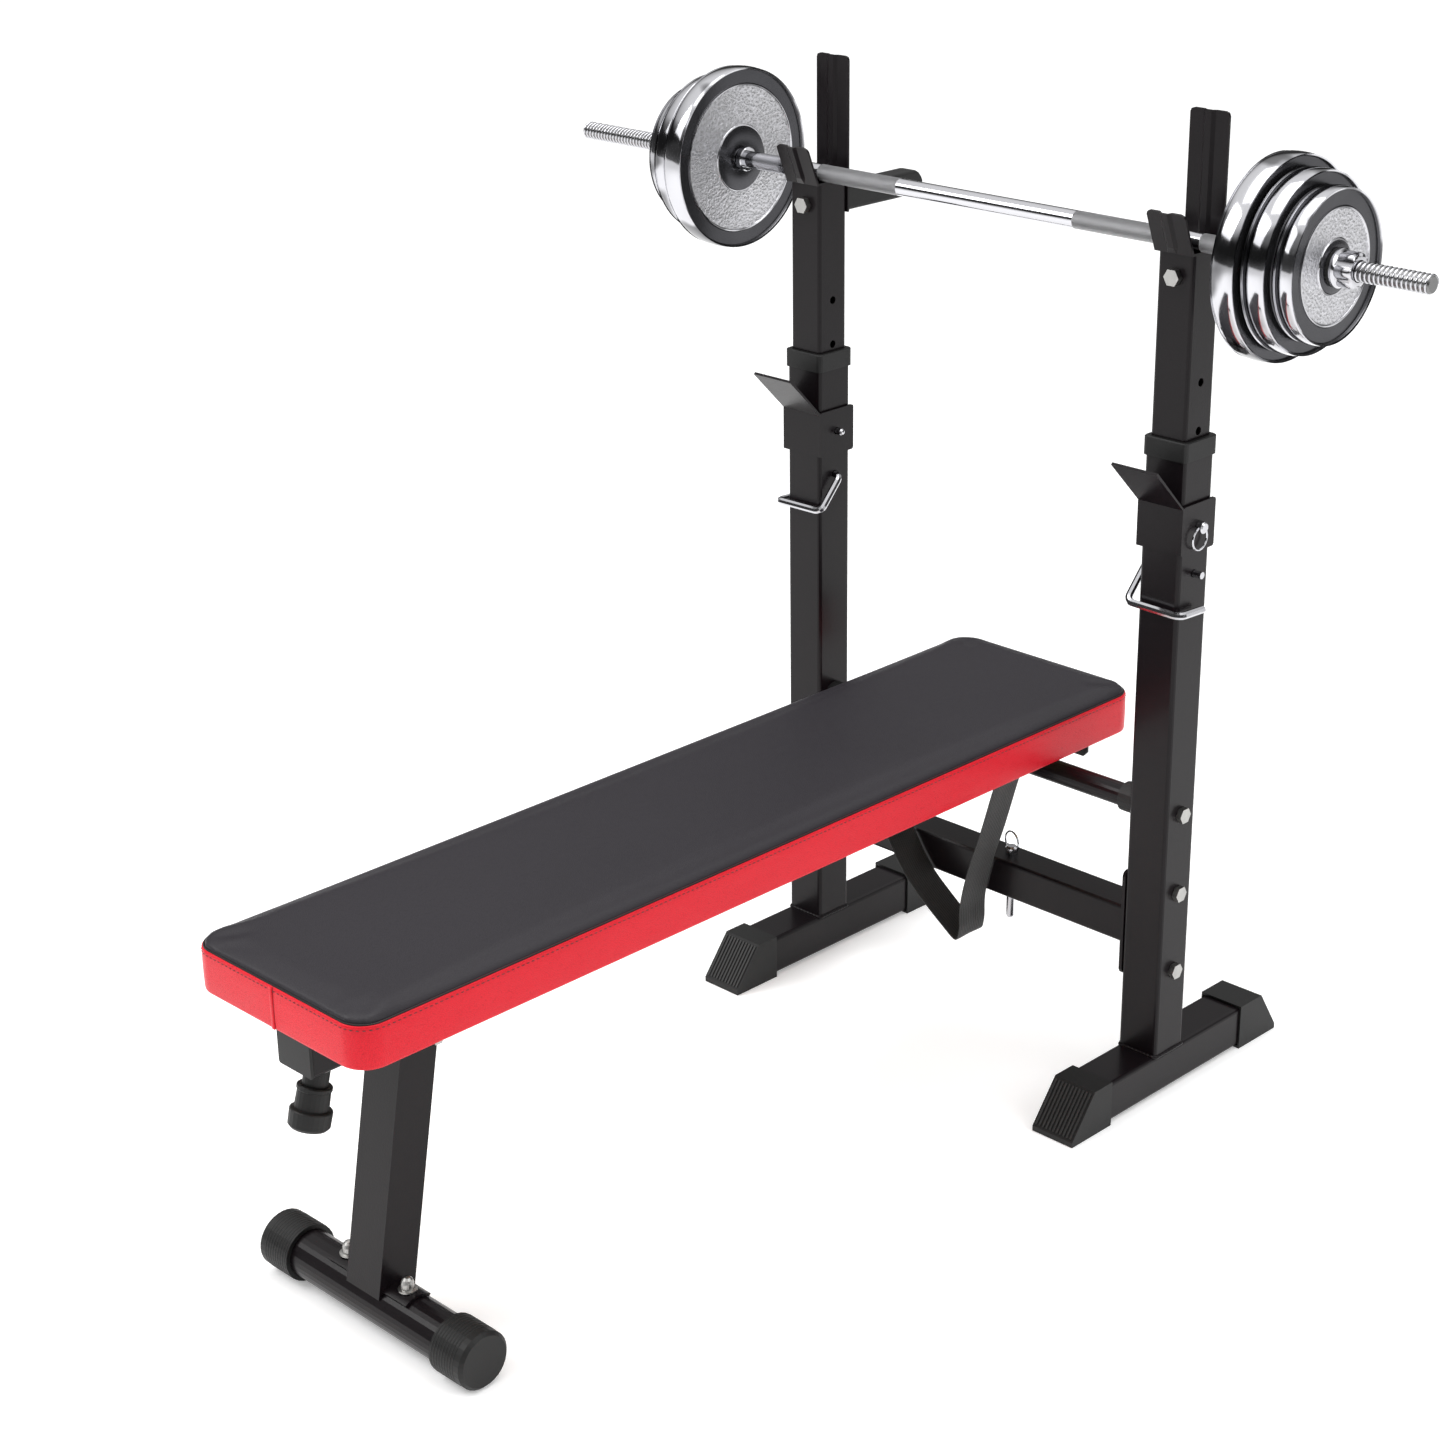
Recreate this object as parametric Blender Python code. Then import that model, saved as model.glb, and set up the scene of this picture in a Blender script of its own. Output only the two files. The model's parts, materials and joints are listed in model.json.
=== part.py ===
"""Home bench press: a flat padded bench hinged to a bar rack, with a loaded spinlock barbell.

Metres, +Z up. The rack stands across X with its uprights on Y = 0 of the rack frame, the bench
runs towards -Y, and one empty carries everything so that the origin is the bottom centre of
the whole object's box.
"""

import math

import bmesh
import bpy
from mathutils import Matrix, Vector

# ---------------------------------------------------------------- driving dimensions (metres)
GAP = 0.0003                 # clearance left between pieces that touch

RACK_SHIFT = (0.03985, 0.39095)    # rack frame origin in the object's frame, X and Y

# square tubes of the rack
RACK_HALF = 0.2522           # uprights' centre lines lie at X = +-RACK_HALF
TUBE = 0.0500                # outer square tube
WALL = 0.0020
TUBE_CORNER = 0.0040
POST = 0.0435                # inner square tube that telescopes in the upright
POST_CORNER = 0.0035

FOOT_BOTTOM = 0.0033         # base tube, lifted off the floor by its caps
FOOT_TOP = 0.0500
FOOT_FRONT = -0.1280
FOOT_REAR = 0.1650
CAP_HALF = 0.02735
CAP_HEIGHT = 0.0533
CAP_TOE = 0.0060
FRONT_CAP = (-0.1027, -0.1329, -0.1699)      # mouth, top edge, toe
REAR_CAP = (0.1329, 0.1725, 0.2023)

UPRIGHT_TOP = 0.7457
COLLAR_BOTTOM = 0.7316
COLLAR_TOP = 0.7519
COLLAR_HALF = 0.0272

POST_BOTTOM = 0.5000
POST_TOP = 0.9417
PIN_HEIGHT = 0.6080          # height pin, and the lowest hole of the post
HOLE_PITCH = 0.0505
PIN_RADIUS = 0.0040
PIN_HOLE = 0.0045
SLOT_HALF = 0.0050           # slot in the post's foot that clears both pins as the post slides

HOOK_HALF = 0.0235
HOOK_SHEET = 0.0024
HOOK_PRESS = 0.0026          # depth of the stiffening groove
HOOK_TOP = 1.0765
HOOK_PLATE = (0.0221, 0.0247)
HOOK_FOOT = 0.9060
LIP_TOP = (-0.0425, 0.9855)

HANDLE_Z = 0.9180
HANDLE_HALF = (0.0125, 0.0140)
HANDLE_END = 0.1600

# safety catch clamped round the upright
CATCH_BOTTOM = 0.6340
CATCH_TOP = 0.6840
CATCH_SHEET = 0.0028
CATCH_INNER = 0.0257
CATCH_TIP = (-0.0760, 0.7330)
CATCH_PIN_Z = 0.6595

# lower crossbar and rear support bar
CROSSBAR_Z = 0.1942
PLATE_LOW = 0.1360
PLATE_HIGH = 0.2600
PLATE_SHEET = 0.0040
CROSS_BOLT_Z = (0.1500, 0.2430)
LOCK_PIN_X = 0.0480
SUPPORT_Z = 0.3358
SUPPORT_RADIUS = 0.0127
SOCKET_RADIUS = 0.0165
SOCKET_LENGTH = 0.0224

# bench
BEAM_HALF = 0.0250
BEAM_BOTTOM = 0.3093
BEAM_TOP = 0.3593
BEAM_FRONT = -0.9620
BEAM_REAR = 0.0480
PAD_HALF = 0.1272
PAD_FRONT = -0.9842
PAD_REAR = 0.1153
PAD_BOTTOM = 0.3597
PAD_SEAM = 0.4043
PAD_TOP = 0.4130
PAD_CORNER = 0.0290
BOARD_INSET = 0.0100
BOARD_TOP = 0.3720

LEG_HALF = 0.0250
LEG_DEPTH = 0.0440
LEG_TILT = math.radians(10.15)   # the foot stands forward of the pivot
LEG_PIVOT = (-0.8248, 0.3015)
LEG_CORNER = 0.0073          # rounded rear top corner, about the pivot
SADDLE_HALF = 0.0600
SADDLE_SPAN = math.radians(33.0)
SADDLE = (0.0254, 0.0284)
FOOT_BOLT_X = 0.0450

ROUND_FOOT = (-0.8877, 0.0300)   # centre line of the front foot, Y and Z
ROUND_FOOT_RADIUS = 0.0250
ROUND_FOOT_HALF = 0.1480
ROUND_CAP_RADIUS = 0.0300
ROUND_CAP_LENGTH = 0.0460
ROUND_CAP_END = 0.1559

KNOB_TOP = (-0.9385, 0.3093)
KNOB_TILT = math.radians(15.0)

# barbell
BAR_Y = -0.0120
BAR_Z = 0.9541
BAR_RADIUS = 0.0102           # threaded ends
SHAFT_RADIUS = 0.0094
BAR_LEFT = -0.6154
BAR_RIGHT = 0.5357
PLATE_START = 0.3570         # inner face of the largest plate, on both sides
PLATES = (("large", 0.1020, 0.0265), ("medium", 0.0905, 0.0265), ("small", 0.0770, 0.0220))
BORE = 0.0108

SIDES = (("left", -1.0), ("right", 1.0))


# ---------------------------------------------------------------- scene and materials
def clear_scene():
    for obj in list(bpy.data.objects):
        bpy.data.objects.remove(obj, do_unlink=True)


def finish(name, colour, roughness, metallic):
    mat = bpy.data.materials.new(name)
    mat.use_nodes = True
    shader = mat.node_tree.nodes["Principled BSDF"]
    shader.inputs["Base Color"].default_value = (*colour, 1.0)
    shader.inputs["Roughness"].default_value = roughness
    shader.inputs["Metallic"].default_value = metallic
    return mat


clear_scene()

BLACK_PAINT = finish("black powder coat", (0.012, 0.011, 0.012), 0.30, 0.0)
BLACK_PLASTIC = finish("black plastic", (0.020, 0.019, 0.020), 0.55, 0.0)
CHROME = finish("chrome", (0.80, 0.80, 0.81), 0.12, 1.0)
ZINC = finish("zinc plate", (0.66, 0.66, 0.65), 0.34, 1.0)
RUBBER = finish("rubber", (0.015, 0.015, 0.015), 0.80, 0.0)
VINYL = finish("charcoal vinyl", (0.045, 0.042, 0.047), 0.42, 0.0)
PLYWOOD = finish("plywood", (0.52, 0.36, 0.20), 0.70, 0.0)
WEBBING = finish("black webbing", (0.010, 0.010, 0.010), 0.80, 0.0)

carrier = bpy.data.objects.new("bench_press", None)
carrier.location = (*RACK_SHIFT, 0.0)
bpy.context.collection.objects.link(carrier)


# ---------------------------------------------------------------- mesh helpers
def add(name, bm, mat, pivot=(0.0, 0.0, 0.0), smooth=30.0):
    """Turn a bmesh in rack coordinates into a named object with its origin at pivot."""
    bmesh.ops.recalc_face_normals(bm, faces=bm.faces)
    bmesh.ops.translate(bm, verts=bm.verts, vec=-Vector(pivot))
    mesh = bpy.data.meshes.new(name)
    bm.to_mesh(mesh)
    bm.free()
    mesh.materials.append(mat)
    mesh.shade_smooth()
    mesh.set_sharp_from_angle(angle=math.radians(smooth))
    obj = bpy.data.objects.new(name, mesh)
    obj.location = pivot
    obj.parent = carrier
    bpy.context.collection.objects.link(obj)
    return obj


def boolean(obj, operation, name, bm):
    """Add or remove a hidden shape with an exact Boolean."""
    tool = add(name, bm, BLACK_PAINT)
    tool.hide_render = True
    tool.display_type = "WIRE"
    modifier = obj.modifiers.new(name, "BOOLEAN")
    modifier.operation = operation
    modifier.solver = "EXACT"
    modifier.object = tool


def loft(loops, closed=False, bm=None):
    """Skin loops of equal length; closed joins the last loop to the first, as in a ring."""
    bm = bm or bmesh.new()
    rows = [[bm.verts.new(p) for p in loop] for loop in loops]
    pairs = list(zip(rows, rows[1:]))
    if closed:
        pairs.append((rows[-1], rows[0]))
    for low, high in pairs:
        for i in range(len(low)):
            j = (i + 1) % len(low)
            bm.faces.new((low[i], low[j], high[j], high[i]))
    if not closed:
        bm.faces.new(rows[0])
        bm.faces.new(rows[-1])
    return bm


def box(low, high, bm=None):
    (x0, y0, z0), (x1, y1, z1) = low, high
    ring = ((x0, y0), (x1, y0), (x1, y1), (x0, y1))
    return loft([[(x, y, z) for x, y in ring] for z in (z0, z1)], bm=bm)


def prism(outline, plane, low, high, bm=None):
    """Extrude an outline given in the plane "xy", "yz" or "xz" along the third axis."""
    place = {
        "xy": lambda a, b, c: (a, b, c),
        "yz": lambda a, b, c: (c, a, b),
        "xz": lambda a, b, c: (a, c, b),
    }[plane]
    return loft([[place(a, b, c) for a, b in outline] for c in (low, high)], bm=bm)


def rounded_rect(half_a, half_b, radius, centre=(0.0, 0.0), steps=3):
    """Corner arcs of a rounded rectangle, counter-clockwise."""
    points = []
    for quarter, (sa, sb) in enumerate(((1, 1), (-1, 1), (-1, -1), (1, -1))):
        for step in range(steps + 1):
            angle = math.radians(90.0 * (quarter + step / steps))
            points.append((
                centre[0] + sa * (half_a - radius) + radius * math.cos(angle),
                centre[1] + sb * (half_b - radius) + radius * math.sin(angle),
            ))
    return points


def square_tube(half_a, half_b, corner, wall, place, low, high):
    """Open-ended rectangular tube; place(a, b, c) turns section and length into a point."""
    outer = rounded_rect(half_a, half_b, corner)
    inner = rounded_rect(half_a - wall, half_b - wall, corner - wall * 0.75)
    loops = [
        [place(a, b, low) for a, b in outer],
        [place(a, b, high) for a, b in outer],
        [place(a, b, high) for a, b in inner],
        [place(a, b, low) for a, b in inner],
    ]
    return loft(loops, closed=True)


def turned(profile, centre, axis, segments=24, bm=None):
    """Turn a closed (distance, radius) profile about an axis through centre."""
    bm = bm or bmesh.new()
    axis = Vector(axis).normalized()
    across = axis.orthogonal().normalized()
    if abs(axis.z) < 0.9:
        across = (Vector((0.0, 0.0, 1.0)) - axis * axis.z).normalized()
    other = axis.cross(across)
    centre = Vector(centre)
    rings = []
    for distance, radius in profile:
        if radius < 1e-6:
            rings.append([bm.verts.new(centre + axis * distance)])
            continue
        ring = []
        for i in range(segments):
            angle = 2.0 * math.pi * i / segments
            spoke = across * math.cos(angle) + other * math.sin(angle)
            ring.append(bm.verts.new(centre + axis * distance + spoke * radius))
        rings.append(ring)
    for one, two in zip(rings, rings[1:] + rings[:1]):
        for i in range(segments):
            j = (i + 1) % segments
            corners = [one[i % len(one)], one[j % len(one)], two[j % len(two)], two[i % len(two)]]
            corners = list(dict.fromkeys(corners))
            if len(corners) > 2:
                bm.faces.new(corners)
    return bm


def rod(start, end, radius, segments=12, bm=None):
    span = Vector(end) - Vector(start)
    profile = [(0.0, 0.0), (0.0, radius), (span.length, radius), (span.length, 0.0)]
    return turned(profile, start, span, segments, bm)


def ring_wire(centre, normal, across, radius, wire, segments=22, sides=6):
    """A ring of round wire."""
    normal = Vector(normal).normalized()
    across = Vector(across).normalized()
    other = normal.cross(across)
    centre = Vector(centre)
    loops = []
    for i in range(segments):
        angle = 2.0 * math.pi * i / segments
        spoke = across * math.cos(angle) + other * math.sin(angle)
        loop = []
        for k in range(sides):
            turn = 2.0 * math.pi * k / sides
            loop.append(centre + spoke * (radius + wire * math.cos(turn)) + normal * wire * math.sin(turn))
        loops.append(loop)
    return loft(loops, closed=True)


def bent_strip(path, sheet, place, sections):
    """Sheet-metal strip along a path of (a, b) points.

    sections gives for each path point the list of (width position, press depth) across the
    strip; place(a, b, w) turns a path point and a width position into a point.
    """
    loops = []
    for i, point in enumerate(path):
        here = Vector(point)
        before = (here - Vector(path[i - 1])).normalized() if i > 0 else None
        after = (Vector(path[i + 1]) - here).normalized() if i + 1 < len(path) else None
        before = before or after
        after = after or before
        normal = Vector((-(before.y + after.y), before.x + after.x)).normalized()
        stretch = 1.0 / max(0.5, normal.dot(Vector((-before.y, before.x))))
        front, back = [], []
        for width, press in sections[i]:
            for side, row in ((0.5, front), (-0.5, back)):
                spot = here + normal * stretch * (sheet * side - press)
                row.append(place(spot.x, spot.y, width))
        loops.append(front + back[::-1])
    return loft(loops)


def hex_outline(centre, across_flats):
    radius = across_flats / math.sqrt(3.0)
    return [
        (centre[0] + radius * math.cos(math.radians(60 * i)), centre[1] + radius * math.sin(math.radians(60 * i)))
        for i in range(6)
    ]


def rounded_path(points, radius, steps=4):
    """Replace the inner corners of a 3D path with arcs."""
    points = [Vector(p) for p in points]
    out = [points[0]]
    for before, corner, after in zip(points, points[1:], points[2:]):
        one = (before - corner).normalized()
        two = (after - corner).normalized()
        half = one.angle(two) / 2.0
        reach = radius / math.tan(half)
        centre = corner + (one + two).normalized() * radius / math.sin(half)
        start = corner + one * reach - centre
        turn = math.pi - 2.0 * half
        spin = start.cross(corner + two * reach - centre).normalized()
        for step in range(steps + 1):
            out.append(centre + Matrix.Rotation(turn * step / steps, 3, spin) @ start)
    out.append(points[-1])
    return out


def wire_piece(name, points, radius, mat, pivot):
    """Round wire with closed ends, as a bevelled curve."""
    curve = bpy.data.curves.new(name, "CURVE")
    curve.dimensions = "3D"
    curve.bevel_depth = radius
    curve.bevel_resolution = 2
    curve.use_fill_caps = True
    spline = curve.splines.new("POLY")
    spline.points.add(len(points) - 1)
    for slot, point in zip(spline.points, points):
        slot.co = (*(Vector(point) - Vector(pivot)), 1.0)
    curve.materials.append(mat)
    obj = bpy.data.objects.new(name, curve)
    obj.location = pivot
    obj.parent = carrier
    bpy.context.collection.objects.link(obj)
    return obj


# ---------------------------------------------------------------- rack
def upright(side, sign):
    """Square tube welded on its base tube, which stays open at both ends under the caps."""
    x = sign * RACK_HALF
    half = TUBE / 2.0
    middle = (FOOT_BOTTOM + FOOT_TOP) / 2.0
    rise = (FOOT_TOP - FOOT_BOTTOM) / 2.0
    bm = square_tube(half, rise, TUBE_CORNER, WALL, lambda a, b, c: (x + a, c, middle + b), FOOT_FRONT, FOOT_REAR)
    body = add(f"upright_{side}", bm, BLACK_PAINT)
    post = square_tube(half, half, TUBE_CORNER, WALL, lambda a, b, c: (x + a, b, c), FOOT_TOP - 0.001, UPRIGHT_TOP)
    boolean(body, "UNION", f"upright_{side}_tube", post)
    holes = bmesh.new()
    for z in (*CROSS_BOLT_Z, SUPPORT_Z, PIN_HEIGHT, CATCH_PIN_Z):
        rod((x - 0.04, 0.0, z), (x + 0.04, 0.0, z), PIN_HOLE, bm=holes)
    boolean(body, "DIFFERENCE", f"upright_{side}_holes", holes)


def foot_cap(side, sign, end, marks, tube_end):
    """Wedge-nosed plastic cap with a socket for the base tube."""
    x = sign * RACK_HALF
    mouth, crest, toe = marks
    outline = [(mouth, 0.0), (toe, 0.0), (toe, CAP_TOE), (crest, CAP_HEIGHT), (mouth, CAP_HEIGHT)]
    cap = add(f"foot_cap_{side}_{end}", prism(outline, "yz", x - CAP_HALF, x + CAP_HALF), BLACK_PLASTIC)
    outward = math.copysign(1.0, toe - mouth)
    inner = TUBE / 2.0 + GAP
    ends = sorted((mouth - outward * 0.01, tube_end + outward * GAP))
    socket = box((x - inner, ends[0], FOOT_BOTTOM - GAP), (x + inner, ends[1], FOOT_TOP + GAP))
    boolean(cap, "DIFFERENCE", f"foot_cap_{side}_{end}_socket", socket)


def guide_collar(side, sign):
    """Plastic sleeve on the upright's mouth that guides the post."""
    x = sign * RACK_HALF
    grip = TUBE / 2.0 + GAP
    guide = POST / 2.0 + GAP
    step = UPRIGHT_TOP + GAP
    rows = (
        (COLLAR_HALF, 0.0050, COLLAR_BOTTOM),
        (COLLAR_HALF, 0.0050, COLLAR_TOP - 0.0010),
        (COLLAR_HALF - 0.0010, 0.0045, COLLAR_TOP),
        (guide, POST_CORNER, COLLAR_TOP),
        (guide, POST_CORNER, step),
        (grip, TUBE_CORNER, step),
        (grip, TUBE_CORNER, COLLAR_BOTTOM),
    )
    loops = [[(a, b, z) for a, b in rounded_rect(half, half, corner, (x, 0.0))] for half, corner, z in rows]
    add(f"guide_collar_{side}", loft(loops, closed=True), BLACK_PLASTIC)


def safety_catch(side, sign):
    """Bent plate: two side cheeks, a front wall and a catch that flares forwards and up."""
    x = sign * RACK_HALF
    outer = CATCH_INNER + CATCH_SHEET
    tip_y, tip_z = CATCH_TIP
    lean = CATCH_SHEET / math.sqrt(2.0)
    wall = [
        (-CATCH_INNER, CATCH_BOTTOM),
        (-CATCH_INNER, CATCH_TOP - 0.0010),
        (tip_y + lean, tip_z),
        (tip_y - lean * 0.2, tip_z - lean),
        (-outer, CATCH_TOP - 0.0010),
        (-outer, CATCH_BOTTOM),
    ]
    plate = add(f"safety_catch_{side}", prism(wall, "yz", x - outer, x + outer), BLACK_PAINT)
    corner = 0.0028
    for hand in (-1.0, 1.0):
        middle = (CATCH_TOP + CATCH_BOTTOM) / 2.0
        outline = rounded_rect(
            0.0275, (CATCH_TOP - CATCH_BOTTOM) / 2.0 + 0.0014, corner, (0.0, middle), steps=2,
        )
        outline = [(max(y, -0.0270), z) for y, z in outline]
        edges = sorted((x + hand * CATCH_INNER, x + hand * outer))
        cheek = prism(outline, "yz", edges[0], edges[1])
        boolean(plate, "UNION", f"safety_catch_{side}_cheek_{'a' if hand < 0 else 'b'}", cheek)
    hole = rod((x - 0.04, 0.0, CATCH_PIN_Z), (x + 0.04, 0.0, CATCH_PIN_Z), PIN_HOLE)
    boolean(plate, "DIFFERENCE", f"safety_catch_{side}_hole", hole)


def catch_pin(side, sign):
    """Pin through the catch, the upright and the post, with a split ring hanging from its head."""
    x = sign * RACK_HALF
    collar = CATCH_INNER + CATCH_SHEET + GAP
    tip = -0.0390
    profile = [
        (tip, 0.0), (tip + 0.0008, PIN_RADIUS * 0.62), (tip + 0.0030, PIN_RADIUS), (collar, PIN_RADIUS),
        (collar, 0.0064), (collar + 0.0065, 0.0064), (collar + 0.0080, 0.0048), (collar + 0.0080, 0.0),
    ]
    pin = add(
        f"catch_pin_{side}", turned(profile, (x, 0.0, CATCH_PIN_Z), (sign, 0.0, 0.0), 16),
        CHROME, pivot=(x + sign * collar, 0.0, CATCH_PIN_Z),
    )
    eye = Vector((x + sign * (collar + 0.0042), 0.0, CATCH_PIN_Z))
    hang = Vector((0.0, -0.30, -1.0)).normalized()
    ring = ring_wire(eye + hang * 0.0120, (1, 0, 0), hang, 0.0120, 0.0011)
    boolean(pin, "UNION", f"catch_pin_{side}_ring", ring)


def height_pin(side, sign):
    """Bent-wire pin through the upright, its bail hanging round the front."""
    x = sign * RACK_HALF
    points = [
        (x + sign * 0.0360, 0.0, PIN_HEIGHT),
        (x - sign * 0.0340, 0.0, PIN_HEIGHT),
        (x - sign * 0.0340, -0.0330, PIN_HEIGHT - 0.0360),
        (x + sign * 0.0340, -0.0330, PIN_HEIGHT - 0.0370),
        (x + sign * 0.0340, 0.0070, PIN_HEIGHT - 0.0390),
    ]
    wire_piece(f"height_pin_{side}", rounded_path(points, 0.0075), PIN_RADIUS, CHROME, (x, 0.0, PIN_HEIGHT))


def crossbar():
    """Square tube with a bolted plate at each end and a vertical hole for the lock pin."""
    face = RACK_HALF - TUBE / 2.0 - GAP
    half = POST / 2.0
    section = rounded_rect(half, half, POST_CORNER, (0.0, CROSSBAR_Z))
    body = add("crossbar", prism(section, "yz", -face + 0.001, face - 0.001), BLACK_PAINT)
    middle = (PLATE_LOW + PLATE_HIGH) / 2.0
    ends = bmesh.new()
    for sign in (-1.0, 1.0):
        outline = rounded_rect(TUBE / 2.0, (PLATE_HIGH - PLATE_LOW) / 2.0, 0.006, (0.0, middle), steps=2)
        edges = sorted((sign * (face - PLATE_SHEET), sign * face))
        prism(outline, "yz", edges[0], edges[1], bm=ends)
    boolean(body, "UNION", "crossbar_plates", ends)
    inside = half - WALL
    hollow = box(
        (-face + PLATE_SHEET, -inside, CROSSBAR_Z - inside), (face - PLATE_SHEET, inside, CROSSBAR_Z + inside),
    )
    boolean(body, "DIFFERENCE", "crossbar_hollow", hollow)
    holes = rod((LOCK_PIN_X, 0.0, 0.12), (LOCK_PIN_X, 0.0, 0.26), 0.0050)
    for sign in (-1.0, 1.0):
        for z in CROSS_BOLT_Z:
            edges = sorted((sign * (face - 0.008), sign * (face + 0.002)))
            rod((edges[0], 0.0, z), (edges[1], 0.0, z), PIN_HOLE, bm=holes)
    boolean(body, "DIFFERENCE", "crossbar_holes", holes)


def crossbar_bolt(side, sign, level, z):
    """Hexagon bolt through the upright and the end plate, with its nut inside."""
    outside = RACK_HALF + TUBE / 2.0 + GAP
    inside = RACK_HALF - TUBE / 2.0 - 2.0 * GAP - PLATE_SHEET

    def span(one, two):
        return sorted((sign * one, sign * two))

    low, high = span(outside, outside + 0.0062)
    bolt = add(f"crossbar_bolt_{side}_{level}", prism(hex_outline((0.0, z), 0.0158), "yz", low, high), ZINC)
    low, high = span(inside - 0.0100, outside + 0.0010)
    boolean(bolt, "UNION", f"bolt_{side}_{level}_shank", rod((low, 0.0, z), (high, 0.0, z), PIN_RADIUS))
    low, high = span(inside - 0.0065, inside)
    nut = prism(hex_outline((0.0, z), 0.0125), "yz", low, high)
    boolean(bolt, "UNION", f"bolt_{side}_{level}_nut", nut)


def lock_pin():
    """Ring pin standing in the crossbar, with its ring upright in the head."""
    top = CROSSBAR_Z + POST / 2.0 + GAP
    profile = [
        (0.1370, 0.0), (0.1370, 0.0032), (0.1395, 0.0044), (top, 0.0044), (top, 0.0072), (top + 0.0080, 0.0072),
        (top + 0.0100, 0.0050), (top + 0.0100, 0.0),
    ]
    pin = add(
        "lock_pin", turned(profile, (LOCK_PIN_X, 0.0, 0.0), (0.0, 0.0, 1.0), 16), CHROME,
        pivot=(LOCK_PIN_X, 0.0, top),
    )
    centre = (LOCK_PIN_X, 0.0, top + 0.0150)
    boolean(pin, "UNION", "lock_pin_ring", ring_wire(centre, (0.25, 1, 0), (0, 0, 1), 0.0122, 0.0011))


def support_bolt(side, sign):
    """Bolt through the upright into the socket's floor."""
    outside = RACK_HALF + TUBE / 2.0 + GAP
    low, high = sorted((sign * outside, sign * (outside + 0.0062)))
    head = prism(hex_outline((0.0, SUPPORT_Z), 0.0158), "yz", low, high)
    bolt = add(f"support_bolt_{side}", head, ZINC)
    low, high = sorted((sign * 0.2175, sign * (outside + 0.0010)))
    shank = rod((low, 0.0, SUPPORT_Z), (high, 0.0, SUPPORT_Z), PIN_RADIUS)
    boolean(bolt, "UNION", f"support_bolt_{side}_shank", shank)


def support_bar():
    end = RACK_HALF - TUBE / 2.0 - GAP - 0.0030 - GAP
    inner = SUPPORT_RADIUS - 0.0015
    profile = [(-end, inner), (-end, SUPPORT_RADIUS), (end, SUPPORT_RADIUS), (end, inner)]
    add("support_bar", turned(profile, (0.0, 0.0, SUPPORT_Z), (1.0, 0.0, 0.0), 24), BLACK_PAINT)


def support_socket(side, sign):
    """Cup bolted to the upright that takes the end of the support bar."""
    face = RACK_HALF - TUBE / 2.0 - GAP
    bore = SUPPORT_RADIUS + GAP
    profile = [
        (face, PIN_HOLE), (face, SOCKET_RADIUS), (face - SOCKET_LENGTH, SOCKET_RADIUS),
        (face - SOCKET_LENGTH, bore), (face - 0.0030, bore), (face - 0.0030, PIN_HOLE),
    ]
    bm = turned(profile, (0.0, 0.0, SUPPORT_Z), (sign, 0.0, 0.0), 24)
    add(f"support_socket_{side}", bm, BLACK_PLASTIC)


# ---------------------------------------------------------------- telescoping posts
def inner_post(side, sign):
    x = sign * RACK_HALF
    half = POST / 2.0
    bm = square_tube(half, half, POST_CORNER, WALL, lambda a, b, c: (x + a, b, c), POST_BOTTOM, POST_TOP)
    body = add(f"inner_post_{side}", bm, BLACK_PAINT, pivot=(x, 0.0, POST_BOTTOM))
    holes = bmesh.new()
    for step in (2, 3, 4):
        z = PIN_HEIGHT + step * HOLE_PITCH
        rod((x - 0.03, 0.0, z), (x + 0.03, 0.0, z), PIN_HOLE, bm=holes)
    rod((x, -0.04, HANDLE_Z), (x, 0.04, HANDLE_Z), PIN_HOLE, bm=holes)
    slot = [(-SLOT_HALF, POST_BOTTOM - 0.01), (SLOT_HALF, POST_BOTTOM - 0.01)]
    for step in range(9):
        angle = math.radians(180.0 * step / 8)
        slot.append((SLOT_HALF * math.cos(angle), CATCH_PIN_Z + SLOT_HALF * math.sin(angle)))
    prism(slot, "yz", x - 0.03, x + 0.03, bm=holes)
    boolean(body, "DIFFERENCE", f"inner_post_{side}_holes", holes)


def bar_hook(side, sign):
    """Cradle: a grooved back plate behind the post, with a base and a leaning front lip."""
    x = sign * RACK_HALF
    base = POST_TOP + GAP + HOOK_SHEET / 2.0
    lip_y, lip_z = LIP_TOP
    bend = -0.0255
    back = (HOOK_PLATE[0] + HOOK_PLATE[1]) / 2.0

    def place(a, b, width):
        return (x + width, a, b)

    def sections(halves, presses):
        rows = []
        for half, press in zip(halves, presses):
            rows.append([
                (-half, 0.0), (-0.0072, 0.0), (-0.0036, press), (0.0036, press), (0.0072, 0.0), (half, 0.0),
            ])
        return rows

    wide = HOOK_HALF
    path = [
        (back, HOOK_FOOT), (back, 0.9490), (back, 0.9540), (back, HOOK_TOP - 0.0045), (back, HOOK_TOP - 0.0013),
        (back, HOOK_TOP),
    ]
    halves = [wide, wide, wide, wide, wide - 0.0013, wide - 0.0050]
    presses = [0.0, 0.0] + [-HOOK_PRESS] * 4
    strip = bent_strip(path, HOOK_PLATE[1] - HOOK_PLATE[0], place, sections(halves, presses))
    hook = add(f"bar_hook_{side}", strip, BLACK_PAINT, pivot=(x, 0.0, POST_TOP))

    def up_lip(share):
        return (bend + (lip_y - bend) * share, base + (lip_z - base) * share)

    path = [up_lip(1.0), up_lip(0.96), up_lip(0.90), up_lip(0.16), (bend, base), (HOOK_PLATE[0] + 0.0006, base)]
    halves = [wide - 0.0050, wide - 0.0013, wide, wide, wide, wide]
    presses = [HOOK_PRESS] * 4 + [0.0, 0.0]
    lip = bent_strip(path, HOOK_SHEET, place, sections(halves, presses))
    boolean(hook, "UNION", f"bar_hook_{side}_lip", lip)
    hole = rod((x, 0.01, HANDLE_Z), (x, 0.04, HANDLE_Z), PIN_HOLE)
    boolean(hook, "DIFFERENCE", f"bar_hook_{side}_hole", hole)


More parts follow.
